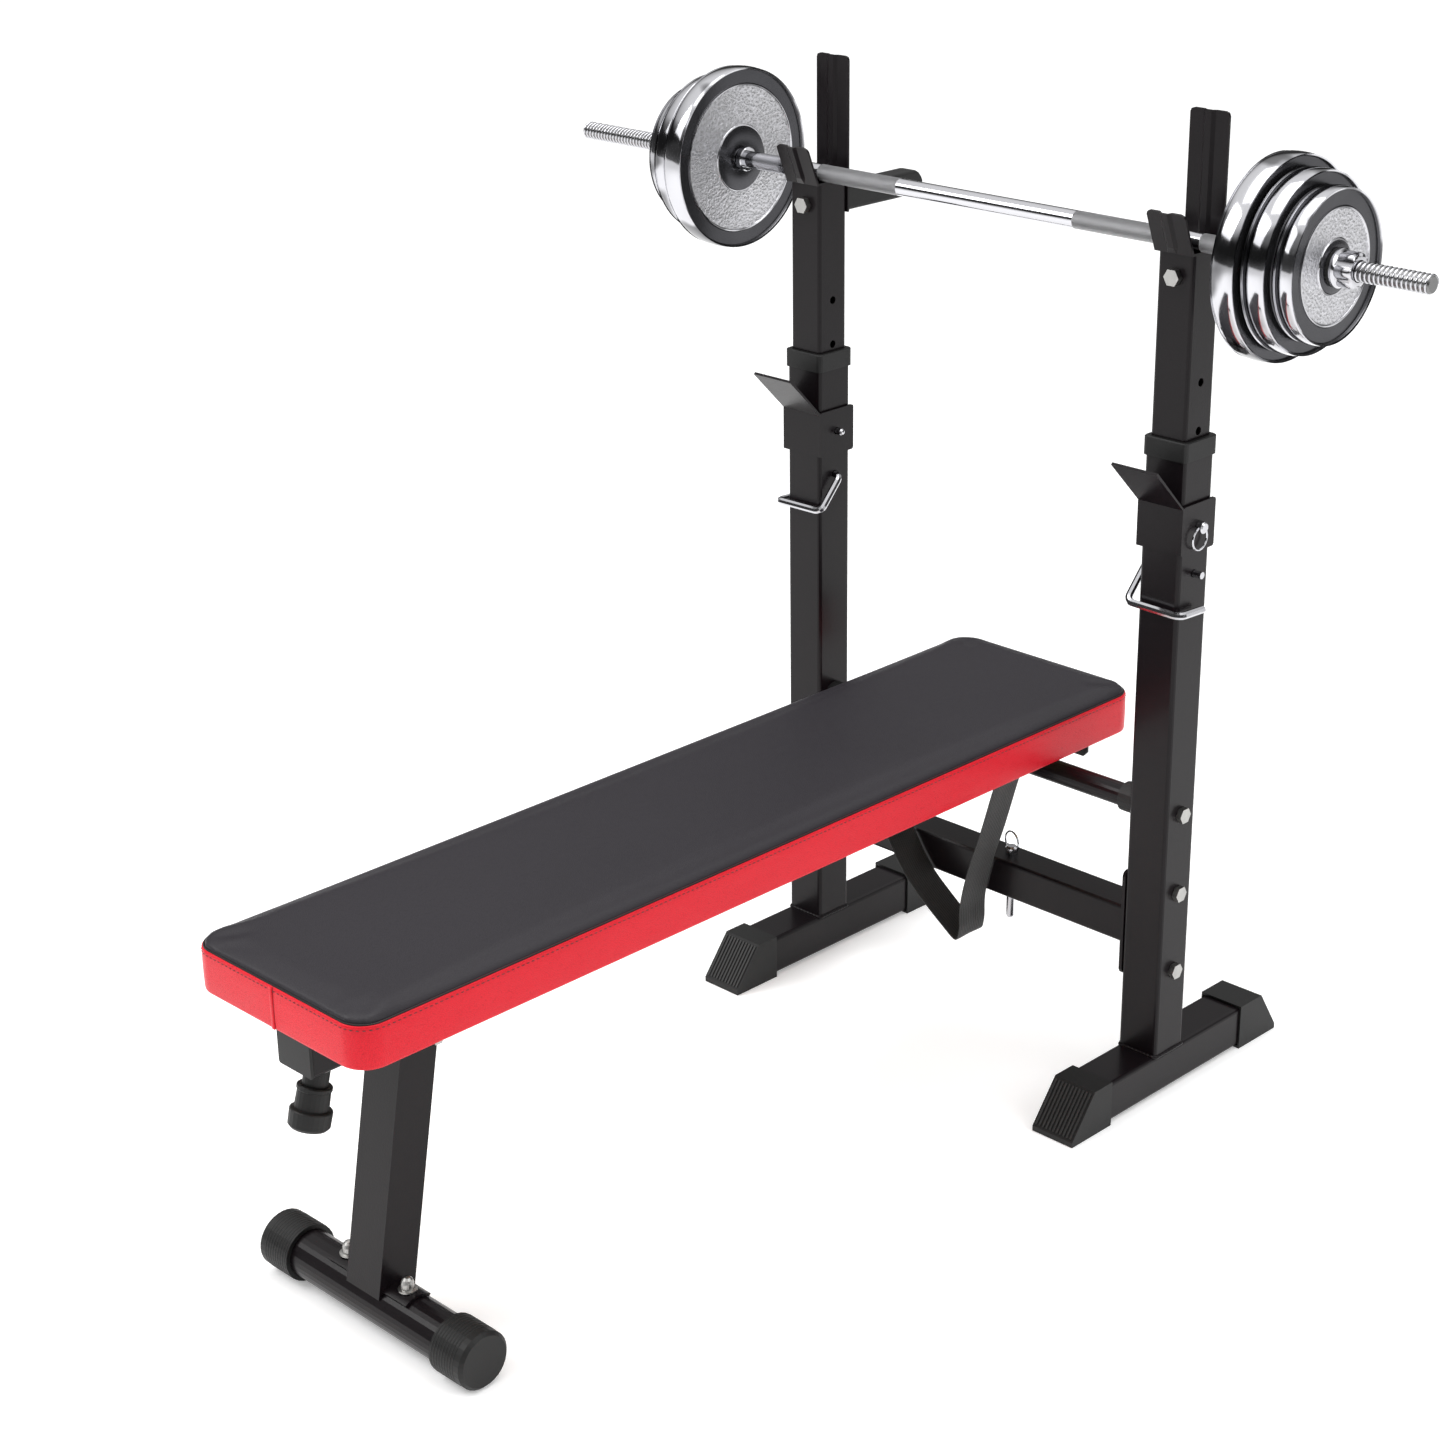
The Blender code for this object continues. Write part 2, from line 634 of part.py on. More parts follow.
def rear_handle(side, sign):
    """Bar that points rearwards from the post, rounded at its end, with a blind hole for its bolt."""
    x = sign * RACK_HALF
    half_x, half_z = HANDLE_HALF
    start = HOOK_PLATE[1] + GAP
    rows = [(1.0, start), (1.0, HANDLE_END - half_z)]
    for step in range(1, 5):
        angle = math.radians(20.0 * step)
        rows.append((math.cos(angle), HANDLE_END - half_z + half_z * math.sin(angle)))
    loops = []
    for share, y in rows:
        section = rounded_rect(half_x, half_z * share, min(0.0035, half_z * share * 0.9), (x, HANDLE_Z))
        loops.append([(a, y, b) for a, b in section])
    handle = add(f"rear_handle_{side}", loft(loops), BLACK_PLASTIC)
    hole = rod((x, start - 0.01, HANDLE_Z), (x, start + 0.0160, HANDLE_Z), PIN_HOLE)
    boolean(handle, "DIFFERENCE", f"rear_handle_{side}_hole", hole)


def handle_bolt(side, sign):
    x = sign * RACK_HALF
    face = -POST / 2.0 - GAP
    head = add(f"handle_bolt_{side}", prism(hex_outline((x, HANDLE_Z), 0.0160), "xz", face - 0.0072, face), ZINC)
    shank = rod((x, face - 0.0020, HANDLE_Z), (x, HOOK_PLATE[1] + 0.0140, HANDLE_Z), PIN_RADIUS)
    boolean(head, "UNION", f"handle_bolt_{side}_shank", shank)


# ---------------------------------------------------------------- barbell
def barbell_bar():
    """Bar with its two fixed inner collars."""
    collar_radius = 0.0135
    collar_width = 0.0080
    edge = PLATE_START - GAP
    profile = [
        (BAR_LEFT, 0.0), (BAR_LEFT, BAR_RADIUS - 0.0015), (BAR_LEFT + 0.0015, BAR_RADIUS),
        (-edge, BAR_RADIUS), (-edge, collar_radius), (-edge + collar_width, collar_radius),
        (-edge + collar_width, SHAFT_RADIUS), (edge - collar_width, SHAFT_RADIUS),
        (edge - collar_width, collar_radius), (edge, collar_radius), (edge, BAR_RADIUS),
        (BAR_RIGHT - 0.0015, BAR_RADIUS), (BAR_RIGHT, BAR_RADIUS - 0.0015), (BAR_RIGHT, 0.0),
    ]
    bm = turned(profile, (0.0, BAR_Y, BAR_Z), (1.0, 0.0, 0.0), 20)
    add("barbell_bar", bm, CHROME, pivot=(0.0, BAR_Y, BAR_Z))


def weight_plates(side, sign):
    """Three discs, largest inside; returns where the stack ends."""
    start = PLATE_START
    for label, radius, width in PLATES:
        dish = 0.0030
        profile = [
            (start + dish, BORE), (start + dish, radius * 0.80), (start, radius * 0.84), (start, radius - 0.0060),
            (start + width * 0.25, radius - 0.0008), (start + width * 0.75, radius - 0.0008),
            (start + width, radius - 0.0060), (start + width, radius * 0.84),
            (start + width - dish, radius * 0.80), (start + width - dish, BORE),
        ]
        bm = turned(profile, (0.0, BAR_Y, BAR_Z), (sign, 0.0, 0.0), 32)
        add(f"plate_{label}_{side}", bm, CHROME, pivot=(sign * start, BAR_Y, BAR_Z))
        start += width + GAP
    return start


def spinlock(side, sign, start):
    """Rubber ring and star nut that clamp the plates."""
    pad = 0.0032
    seat = start - 0.0030
    ring = [(seat, BORE), (seat, 0.0190), (seat + pad, 0.0190), (seat + pad, BORE)]
    add(f"lock_washer_{side}", turned(ring, (0.0, BAR_Y, BAR_Z), (sign, 0.0, 0.0), 20), RUBBER,
        pivot=(sign * seat, BAR_Y, BAR_Z))
    face = seat + pad + GAP
    count = 24
    loops = []
    rows = (
        (face, BORE, 0.0), (face, 0.0195, 0.0), (face + 0.0035, 0.0195, 0.0), (face + 0.0050, 0.0165, 0.0014),
        (face + 0.0210, 0.0165, 0.0014), (face + 0.0225, 0.0150, 0.0012), (face + 0.0225, BORE, 0.0),
    )
    for distance, radius, lobe in rows:
        loop = []
        for i in range(count):
            angle = 2.0 * math.pi * i / count
            reach = radius + lobe * math.cos(6.0 * angle)
            loop.append((sign * distance, BAR_Y + reach * math.cos(angle), BAR_Z + reach * math.sin(angle)))
        loops.append(loop)
    add(f"spinlock_{side}", loft(loops, closed=True), CHROME, pivot=(sign * face, BAR_Y, BAR_Z))


# ---------------------------------------------------------------- bench
def main_beam():
    """Square tube under the pad, bored through its sides for the support bar."""
    middle = (BEAM_BOTTOM + BEAM_TOP) / 2.0
    half = (BEAM_TOP - BEAM_BOTTOM) / 2.0
    bm = square_tube(
        BEAM_HALF, half, TUBE_CORNER, WALL, lambda a, b, c: (a, c, middle + b), BEAM_FRONT, BEAM_REAR,
    )
    body = add("main_beam", bm, BLACK_PAINT)
    bore = rod((-0.04, 0.0, SUPPORT_Z), (0.04, 0.0, SUPPORT_Z), SUPPORT_RADIUS + 0.0005, 24)
    boolean(body, "DIFFERENCE", "main_beam_bore", bore)


def beam_plug():
    """Plastic plug that closes the front of the beam."""
    middle = (BEAM_BOTTOM + BEAM_TOP) / 2.0
    half = (BEAM_TOP - BEAM_BOTTOM) / 2.0
    rows = (
        (BEAM_HALF - 0.0008, half - 0.0008, BEAM_FRONT - 0.0032), (BEAM_HALF, half, BEAM_FRONT - 0.0024),
        (BEAM_HALF, half, BEAM_FRONT - GAP), (BEAM_HALF - WALL - GAP, half - WALL - GAP, BEAM_FRONT - GAP),
        (BEAM_HALF - WALL - 0.0010, half - WALL - 0.0010, BEAM_FRONT + 0.0220),
    )
    loops = [[(a, y, b) for a, b in rounded_rect(ha, hb, 0.0030, (0.0, middle))] for ha, hb, y in rows]
    add("beam_plug", loft(loops), BLACK_PLASTIC)


def pad_bracket():
    """Angle across the rear end of the beam that carries the pad."""
    top = PAD_BOTTOM - GAP
    wide = 0.1120
    y0 = BEAM_REAR + GAP
    outline = [(-wide, top), (-wide, 0.3440), (-wide + 0.0050, 0.3385), (wide - 0.0050, 0.3385), (wide, 0.3440), (wide, top)]
    body = add("pad_bracket", prism(outline, "xz", y0, y0 + 0.0030), BLACK_PAINT)
    flange = box((-wide, y0 + 0.0010, top - 0.0030), (wide, y0 + 0.0300, top))
    boolean(body, "UNION", "pad_bracket_flange", flange)


def pad_outline(inset, extra_corner=0.0):
    half_x = PAD_HALF - inset
    half_y = (PAD_REAR - PAD_FRONT) / 2.0 - inset
    centre = (0.0, (PAD_REAR + PAD_FRONT) / 2.0)
    return rounded_rect(half_x, half_y, PAD_CORNER - inset + extra_corner, centre, steps=5)


def bench_pad():
    rows = ((0.0012, PAD_BOTTOM), (0.0, PAD_BOTTOM + 0.0020), (0.0, PAD_SEAM), (0.0045, PAD_SEAM + 0.0050),
            (0.0150, PAD_TOP))
    loops = [[(a, b, z) for a, b in pad_outline(inset)] for inset, z in rows]
    pad = add("bench_pad", loft(loops), VINYL)
    edge = BOARD_INSET - GAP
    pocket = prism(pad_outline(edge), "xy", PAD_BOTTOM - 0.005, BOARD_TOP + GAP)
    boolean(pad, "DIFFERENCE", "bench_pad_pocket", pocket)


def pad_board():
    add("pad_board", prism(pad_outline(BOARD_INSET), "xy", PAD_BOTTOM, BOARD_TOP), PLYWOOD)


def leg_bracket():
    """Fork bent round the beam: two ears for the pivot and a front web that stops the leg."""
    inner = BEAM_HALF + GAP * 1.5
    outer = inner + 0.0030
    front, web, rear = -0.8672, -0.8642, -0.8050
    outline = [
        (-outer, front), (outer, front), (outer, rear), (inner, rear), (inner, web), (-inner, web), (-inner, rear),
        (-outer, rear),
    ]
    body = add("leg_bracket", prism(outline, "xy", 0.2935, 0.3450), BLACK_PAINT)
    clear = box((-inner, front - 0.01, BEAM_BOTTOM - GAP), (inner, web + 0.01, 0.3600))
    boolean(body, "DIFFERENCE", "leg_bracket_window", clear)
    y, z = LEG_PIVOT
    boolean(body, "DIFFERENCE", "leg_bracket_hole", rod((-0.04, y, z), (0.04, y, z), PIN_HOLE))


def front_leg():
    """Leaning square tube, coped at its foot and welded to a curved saddle."""
    along = Vector((math.sin(LEG_TILT), math.cos(LEG_TILT)))
    rearward = Vector((along.y, -along.x))
    pivot = Vector(LEG_PIVOT)
    foot = Vector(ROUND_FOOT)
    cope = SADDLE[0] + GAP

    def meet(face):
        """Where a long face of the leg reaches the coped foot."""
        start = face - foot
        half = start.dot(along)
        return face + along * (math.sqrt(half * half - start.length_squared + cope * cope) - half)

    rear_face = pivot + rearward * LEG_CORNER
    front_face = rear_face - rearward * LEG_DEPTH
    low_rear = meet(rear_face)
    low_front = meet(front_face)
    top = pivot.y + LEG_CORNER
    outline = [tuple(low_rear)]
    for step in range(6):
        angle = -LEG_TILT + (math.pi / 2.0 + LEG_TILT) * step / 5
        outline.append((pivot.x + LEG_CORNER * math.cos(angle), pivot.y + LEG_CORNER * math.sin(angle)))
    outline.append((front_face.x + (top - front_face.y) * math.tan(LEG_TILT), top))
    outline.append(tuple(low_front))
    one = math.atan2(low_front.y - foot.y, low_front.x - foot.x)
    two = math.atan2(low_rear.y - foot.y, low_rear.x - foot.x)
    for step in range(1, 8):
        angle = one + (two - one) * step / 8
        outline.append((foot.x + cope * math.cos(angle), foot.y + cope * math.sin(angle)))
    leg = add("front_leg", prism(outline, "yz", -LEG_HALF, LEG_HALF), BLACK_PAINT, pivot=(0.0, *LEG_PIVOT))

    mouth = rear_face + along * 0.03
    floor = rear_face - along * 0.2350
    core = []
    for corner, side in ((floor, 1.0), (mouth, 1.0), (mouth, -1.0), (floor, -1.0)):
        inset = WALL if side > 0 else LEG_DEPTH - WALL
        core.append(tuple(corner - rearward * inset))
    hollow = prism(core, "yz", -LEG_HALF + WALL, LEG_HALF - WALL)
    boolean(leg, "DIFFERENCE", "front_leg_hollow", hollow)

    arc = []
    for radius, order in ((SADDLE[1], range(17)), (SADDLE[0], range(16, -1, -1))):
        for step in order:
            angle = SADDLE_SPAN * (step / 8.0 - 1.0)
            arc.append((foot.x + radius * math.sin(angle), foot.y + radius * math.cos(angle)))
    saddle = prism(arc, "yz", -SADDLE_HALF, SADDLE_HALF)
    boolean(leg, "UNION", "front_leg_saddle", saddle)
    holes = rod((-0.04, *LEG_PIVOT), (0.04, *LEG_PIVOT), PIN_HOLE)
    for sign in (-1.0, 1.0):
        x = sign * FOOT_BOLT_X
        rod((x, foot.x, 0.050), (x, foot.x, 0.070), 0.0038, bm=holes)
    boolean(leg, "DIFFERENCE", "front_leg_holes", holes)


def leg_bolt():
    y, z = LEG_PIVOT
    face = BEAM_HALF + GAP * 2.5 + 0.0030
    head = prism(hex_outline((y, z), 0.0130), "yz", face, face + 0.0060)
    bolt = add("leg_pivot_bolt", head, ZINC, pivot=(0.0, y, z))
    boolean(bolt, "UNION", "leg_bolt_shank", rod((-face - 0.0090, y, z), (face + 0.0020, y, z), PIN_RADIUS))
    nut = prism(hex_outline((y, z), 0.0130), "yz", -face - 0.0060, -face)
    boolean(bolt, "UNION", "leg_bolt_nut", nut)


def foot_bolt(side, sign):
    """Bolt from inside the foot tube with a flanged dome nut on the saddle."""
    x = sign * FOOT_BOLT_X
    y, z = ROUND_FOOT
    seat = z + SADDLE[1] + GAP
    inside = z + ROUND_FOOT_RADIUS - WALL - 0.0010
    profile = [
        (inside - 0.0030, 0.0), (inside - 0.0030, 0.0055), (inside, 0.0055), (inside, 0.0032), (seat, 0.0032),
        (seat, 0.0096), (seat + 0.0015, 0.0096), (seat + 0.0020, 0.0066), (seat + 0.0080, 0.0066),
        (seat + 0.0115, 0.0054), (seat + 0.0138, 0.0032), (seat + 0.0146, 0.0),
    ]
    add(f"foot_bolt_{side}", turned(profile, (x, y, 0.0), (0.0, 0.0, 1.0), 20), ZINC)


def front_foot():
    y, z = ROUND_FOOT
    inner = ROUND_FOOT_RADIUS - WALL
    half = ROUND_FOOT_HALF
    profile = [(-half, inner), (-half, ROUND_FOOT_RADIUS), (half, ROUND_FOOT_RADIUS), (half, inner)]
    tube = add("front_foot", turned(profile, (0.0, y, z), (1.0, 0.0, 0.0), 32), BLACK_PAINT)
    holes = bmesh.new()
    for sign in (-1.0, 1.0):
        rod((sign * FOOT_BOLT_X, y, z + 0.015), (sign * FOOT_BOLT_X, y, z + 0.035), 0.0038, bm=holes)
    boolean(tube, "DIFFERENCE", "front_foot_holes", holes)
    bore = ROUND_FOOT_RADIUS + GAP
    mouth = ROUND_CAP_END - ROUND_CAP_LENGTH
    for side, sign in SIDES:
        profile = [
            (mouth, bore), (mouth, ROUND_CAP_RADIUS), (ROUND_CAP_END - 0.0035, ROUND_CAP_RADIUS),
            (ROUND_CAP_END, ROUND_CAP_RADIUS - 0.0035), (ROUND_CAP_END, 0.0), (half + GAP, 0.0), (half + GAP, bore),
        ]
        bm = turned(profile, (0.0, y, z), (sign, 0.0, 0.0), 32)
        add(f"front_foot_cap_{side}", bm, BLACK_PLASTIC)


def pull_knob():
    """Spring pull knob on a tilted housing under the front of the beam."""
    top = Vector((0.0, *KNOB_TOP))
    down = Vector((0.0, -math.sin(KNOB_TILT), -math.cos(KNOB_TILT)))
    across = Vector((1.0, 0.0, 0.0))
    other = down.cross(across)
    count = 24
    radius = 0.0125
    roof = BEAM_BOTTOM - GAP * 1.5
    upper, lower = [], []
    for i in range(count):
        angle = 2.0 * math.pi * i / count
        spoke = across * math.cos(angle) * radius + other * math.sin(angle) * radius
        point = top + spoke
        upper.append(point + down * ((roof - point.z) / down.z))
        lower.append(point + down * 0.0420)
    add("knob_housing", loft([upper, lower]), BLACK_PLASTIC)
    bore = radius + GAP * 1.5
    profile = [
        (0.0222, bore), (0.0222, 0.0160), (0.0232, 0.0170), (0.0262, 0.0170), (0.0274, 0.0160), (0.0448, 0.0166),
        (0.0458, 0.0198), (0.0470, 0.0206), (0.0618, 0.0202), (0.0646, 0.0176), (0.0655, 0.0), (0.0470, 0.0),
        (0.0470, bore),
    ]
    bm = turned(profile, top, down, count)
    add("pull_knob", bm, BLACK_PLASTIC, pivot=top + down * 0.0222)


def strap():
    """Flat webbing loop hanging in front of the crossbar, below the pad."""
    front, rear = -0.0680, -0.0235
    bottom = Vector((0.0240, 0.1235))
    left = [(-0.1080, 0.3560), (-0.1050, 0.3000), (-0.0960, 0.2500), (-0.0800, 0.2170), (-0.0530, 0.1810),
            (-0.0200, 0.1520), (0.0060, 0.1330)]
    right = [(0.0290, 0.1380), (0.0300, 0.1690), (0.0420, 0.2180), (0.0560, 0.2640), (0.0700, 0.3080), (0.0840, 0.3560)]
    path = left + [tuple(bottom)] + right
    sections = [[(front, 0.0), (rear, 0.0)]] * len(path)
    bm = bent_strip(path, 0.0024, lambda a, b, w: (a, w, b), sections)
    add("strap", bm, WEBBING)


# ---------------------------------------------------------------- assembly
for side_name, side_sign in SIDES:
    upright(side_name, side_sign)
    foot_cap(side_name, side_sign, "front", FRONT_CAP, FOOT_FRONT)
    foot_cap(side_name, side_sign, "rear", REAR_CAP, FOOT_REAR)
    guide_collar(side_name, side_sign)
    safety_catch(side_name, side_sign)
    catch_pin(side_name, side_sign)
    height_pin(side_name, side_sign)
    for level_name, level_z in zip(("low", "high"), CROSS_BOLT_Z):
        crossbar_bolt(side_name, side_sign, level_name, level_z)
    support_socket(side_name, side_sign)
    support_bolt(side_name, side_sign)
    inner_post(side_name, side_sign)
    bar_hook(side_name, side_sign)
    rear_handle(side_name, side_sign)
    handle_bolt(side_name, side_sign)
    foot_bolt(side_name, side_sign)
    stack_end = weight_plates(side_name, side_sign)
    spinlock(side_name, side_sign, stack_end)

crossbar()
lock_pin()
support_bar()
barbell_bar()
main_beam()
beam_plug()
pad_bracket()
bench_pad()
pad_board()
leg_bracket()
front_leg()
leg_bolt()
front_foot()
pull_knob()
strap()
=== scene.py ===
"""Home bench press: finishes, padding, webbing, weights and a plain studio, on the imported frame."""

import json
import math

import bmesh
import bpy
from mathutils import Euler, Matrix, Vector

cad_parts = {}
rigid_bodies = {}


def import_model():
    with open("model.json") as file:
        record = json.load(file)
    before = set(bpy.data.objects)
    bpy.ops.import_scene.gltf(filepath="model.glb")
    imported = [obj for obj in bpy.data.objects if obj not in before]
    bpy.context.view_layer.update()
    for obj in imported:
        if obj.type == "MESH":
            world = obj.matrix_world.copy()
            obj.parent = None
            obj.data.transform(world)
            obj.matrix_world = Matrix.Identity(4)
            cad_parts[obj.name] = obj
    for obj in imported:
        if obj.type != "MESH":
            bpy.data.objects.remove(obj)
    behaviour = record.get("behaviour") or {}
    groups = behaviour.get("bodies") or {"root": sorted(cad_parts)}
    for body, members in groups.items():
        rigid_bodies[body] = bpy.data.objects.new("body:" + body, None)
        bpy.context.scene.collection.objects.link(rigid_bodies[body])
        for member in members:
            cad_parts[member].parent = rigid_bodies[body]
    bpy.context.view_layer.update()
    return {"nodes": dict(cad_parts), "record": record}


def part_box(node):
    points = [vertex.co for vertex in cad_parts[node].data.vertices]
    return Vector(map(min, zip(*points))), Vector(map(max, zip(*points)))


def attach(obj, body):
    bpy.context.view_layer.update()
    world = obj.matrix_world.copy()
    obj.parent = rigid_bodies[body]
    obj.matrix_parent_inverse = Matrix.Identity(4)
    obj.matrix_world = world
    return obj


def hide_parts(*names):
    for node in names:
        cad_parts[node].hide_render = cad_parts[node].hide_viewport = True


bl_info = {
    "name": "Bench Press Finisher",
    "version": (1, 0, 0),
    "blender": (4, 5, 0),
    "location": "View3D > Sidebar > Bench Press",
    "description": "Builds the finishes and soft parts of a home bench press on its solid frame",
    "category": "Object",
}

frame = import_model()
NODES = frame["nodes"]
SIDES = (("left", -1.0), ("right", 1.0))


def middle(node):
    low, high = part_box(node)
    return (Vector(low) + Vector(high)) / 2.0


BAR = middle("barbell_bar")
HINGE = middle("support_bar")
RACK_X = HINGE.x
PAD_LOW, PAD_HIGH = (Vector(p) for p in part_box("bench_pad"))
PAD_MID = (PAD_LOW + PAD_HIGH) / 2.0
PAD_BOTTOM = PAD_LOW.z + 0.0002
PAD_CORNER = 0.029
FOOT = middle("front_foot")

SHAFT = 0.0094              # radii on the bar
THREAD_ROOT = 0.0091
THREAD_CREST = 0.0102
COLLAR = 0.0135
COLLAR_WIDTH = 0.0078
BORE = 0.0108
LINE_STEPS = 14             # steps in each corner of the pad's sewn lines


# ---------------------------------------------------------------- settings
class BenchPressShape(bpy.types.PropertyGroup):
    """Sizes of the soft and turned pieces."""

    seam_height: bpy.props.FloatProperty(
        name="Seam height", description="Height of the pad's piped seam above the floor",
        default=0.4043, min=0.37, max=0.412, subtype="DISTANCE", unit="LENGTH",
    )
    pad_swell: bpy.props.FloatProperty(
        name="Pad swell", description="Furthest that the cover may bulge from its cut shape",
        default=0.0020, min=0.0, max=0.012, subtype="DISTANCE", unit="LENGTH",
    )
    piping_radius: bpy.props.FloatProperty(
        name="Piping radius", description="Radius of the cord sewn into the pad's seam",
        default=0.0010, min=0.0005, max=0.004, subtype="DISTANCE", unit="LENGTH",
    )
    stitch_pitch: bpy.props.FloatProperty(
        name="Stitch pitch", description="Distance from one stitch to the next",
        default=0.0060, min=0.002, max=0.02, subtype="DISTANCE", unit="LENGTH",
    )
    thread_pitch: bpy.props.FloatProperty(
        name="Thread pitch", description="Pitch of the threads on the bar's ends",
        default=0.0050, min=0.002, max=0.01, subtype="DISTANCE", unit="LENGTH",
    )
    rib_count: bpy.props.IntProperty(
        name="Cap ribs", description="Moulded ribs on each rack foot cap", default=11, min=2, max=20,
    )


class BenchPressColours(bpy.types.PropertyGroup):
    """Main colours of the finishes."""

    paint: bpy.props.FloatVectorProperty(
        name="Powder coat", description="Gloss black on the tubes and plates",
        default=(0.0060, 0.0042, 0.0052), size=3, min=0.0, max=1.0, subtype="COLOR",
    )
    cover: bpy.props.FloatVectorProperty(
        name="Cover", description="Vinyl on top of the pad",
        default=(0.026, 0.0235, 0.028), size=3, min=0.0, max=1.0, subtype="COLOR",
    )
    band: bpy.props.FloatVectorProperty(
        name="Band", description="Vinyl round the pad's sides",
        default=(0.74, 0.010, 0.024), size=3, min=0.0, max=1.0, subtype="COLOR",
    )
    plating: bpy.props.FloatVectorProperty(
        name="Plating", description="Chrome on the bar, pins and weights",
        default=(0.56, 0.56, 0.585), size=3, min=0.0, max=1.0, subtype="COLOR",
    )


# ---------------------------------------------------------------- shader maths
class Wire:
    """A socket that ordinary arithmetic can be written on."""

    def __init__(self, shade, socket):
        self.shade = shade
        self.socket = socket

    def _math(self, operation, *values):
        return self.shade.add("ShaderNodeMath", {"operation": operation}, list(values))

    def __add__(self, other):
        return self._math("ADD", self, other)

    def __sub__(self, other):
        return self._math("SUBTRACT", self, other)

    def __mul__(self, other):
        return self._math("MULTIPLY", self, other)

    def __truediv__(self, other):
        return self._math("DIVIDE", self, other)

    def __radd__(self, other):
        return self._math("ADD", other, self)

    def __rsub__(self, other):
        return self._math("SUBTRACT", other, self)

    def __rmul__(self, other):
        return self._math("MULTIPLY", other, self)

    def __rtruediv__(self, other):
        return self._math("DIVIDE", other, self)

    def call(self, operation, *others):
        return self._math(operation, self, *others)


class Shade:
    """A material under construction."""

    def __init__(self, name, roughness=0.5, metallic=0.0, **sockets):
        self.material = bpy.data.materials.new(name)
        self.material.use_nodes = True
        self.tree = self.material.node_tree
        self.shader = self.tree.nodes["Principled BSDF"]
        self.set("Roughness", roughness)
        self.set("Metallic", metallic)
        for key, value in sockets.items():
            self.set(key.replace("_", " "), value)

    def set(self, socket, value):
        if isinstance(value, Wire):
            self.tree.links.new(value.socket, self.shader.inputs[socket])
        elif isinstance(value, tuple) and len(value) == 3:
            self.shader.inputs[socket].default_value = (*value, 1.0)
        else:
            self.shader.inputs[socket].default_value = value

    def add(self, kind, settings=None, values=(), output=0):
        """One node: its settings first, then its sockets by index or name."""
        node = self.tree.nodes.new(kind)
        for key, value in (settings or {}).items():
            setattr(node, key, value)
        pairs = values.items() if isinstance(values, dict) else enumerate(values)
        for key, value in pairs:
            if isinstance(value, Wire):
                self.tree.links.new(value.socket, node.inputs[key])
            elif value is not None:
                node.inputs[key].default_value = value
        return Wire(self, node.outputs[output])

    def place(self):
        return self.add("ShaderNodeTexCoord", output="Object")

    def axes(self, place=None):
        place = place or self.place()
        node = self.tree.nodes.new("ShaderNodeSeparateXYZ")
        self.tree.links.new(place.socket, node.inputs[0])
        return [Wire(self, out) for out in node.outputs]

    def noise(self, scale, detail=2.0, place=None, rough=0.5):
        return self.add(
            "ShaderNodeTexNoise", None,
            {"Vector": place or self.place(), "Scale": scale, "Detail": detail, "Roughness": rough},
        )

    def mix(self, factor, one, two):
        """Mix two colours."""
        node = self.tree.nodes.new("ShaderNodeMix")
        node.data_type = "RGBA"
        for index, value in ((0, factor), (6, one), (7, two)):
            if isinstance(value, Wire):
                self.tree.links.new(value.socket, node.inputs[index])
            elif isinstance(value, tuple):
                node.inputs[index].default_value = (*value, 1.0)
            else:
                node.inputs[index].default_value = value
        return Wire(self, node.outputs[2])

    def ramp(self, value, low, high):
        """0 below low, 1 above high, smooth between."""
        return self.add(
            "ShaderNodeMapRange", {"interpolation_type": "SMOOTHSTEP"},
            {"Value": value, "From Min": low, "From Max": high},
        )

    def band(self, value, low, high, soft):
        """1 between low and high."""
        return self.ramp(value, low - soft, low + soft) - self.ramp(value, high - soft, high + soft)

    def bump(self, height, distance, strength=1.0):
        normal = self.add(
            "ShaderNodeBump", None, {"Height": height, "Distance": distance, "Strength": strength},
        )
        self.set("Normal", normal)


# ---------------------------------------------------------------- finishes
FINISH = {}


def grey(value):
    return (value, value, value)


def powder_coat(name, colour):
    shade = Shade(name, Specular_IOR_Level=0.17, Coat_Roughness=0.10, Coat_IOR=1.4)
    cloud = shade.noise(7.0, 3.0)
    peel = shade.noise(520.0, 2.0)
    speck = shade.ramp(shade.noise(1400.0, 1.0), 0.70, 0.76)
    tone = shade.mix(cloud, tuple(c * 0.85 for c in colour), tuple(c * 1.25 for c in colour))
    shade.set("Base Color", shade.mix(speck * 0.25, tone, grey(0.03)))
    shade.set("Roughness", cloud * 0.10 + 0.25)
    shade.set("Coat Weight", 0.04 + cloud * 0.06)
    shade.bump(peel * 0.7 + cloud * 2.0, 0.00035, 0.35)
    return shade.material


def moulded(name, value=0.0065, roughness=0.52, grain=900.0, depth=0.00012):
    shade = Shade(name, Specular_IOR_Level=0.35)
    cloud = shade.noise(14.0, 3.0)
    pits = shade.noise(grain, 2.0)
    shade.set("Base Color", shade.mix(cloud, grey(value * 0.8), grey(value * 1.5)))
    shade.set("Roughness", cloud * 0.14 + (roughness - 0.07))
    shade.bump(pits, depth, 0.6)
    return shade.material


def plated(name, colour, roughness=0.09, haze=0.08):
    shade = Shade(name, metallic=1.0)
    cloud = shade.noise(26.0, 4.0)
    rub = shade.noise(380.0, 2.0)
    shade.set("Base Color", shade.mix(cloud, tuple(c * 0.93 for c in colour), colour))
    shade.set("Roughness", cloud * haze + roughness)
    shade.bump(rub, 0.00004, 0.25)
    return shade.material


def zinc(name):
    shade = Shade(name, metallic=1.0)
    cloud = shade.noise(90.0, 4.0)
    turned = shade.noise(1500.0, 2.0)
    shade.set("Base Color", shade.mix(cloud, (0.32, 0.32, 0.315), (0.52, 0.51, 0.49)))
    shade.set("Roughness", cloud * 0.18 + 0.24)
    shade.bump(turned, 0.00005, 0.5)
    return shade.material


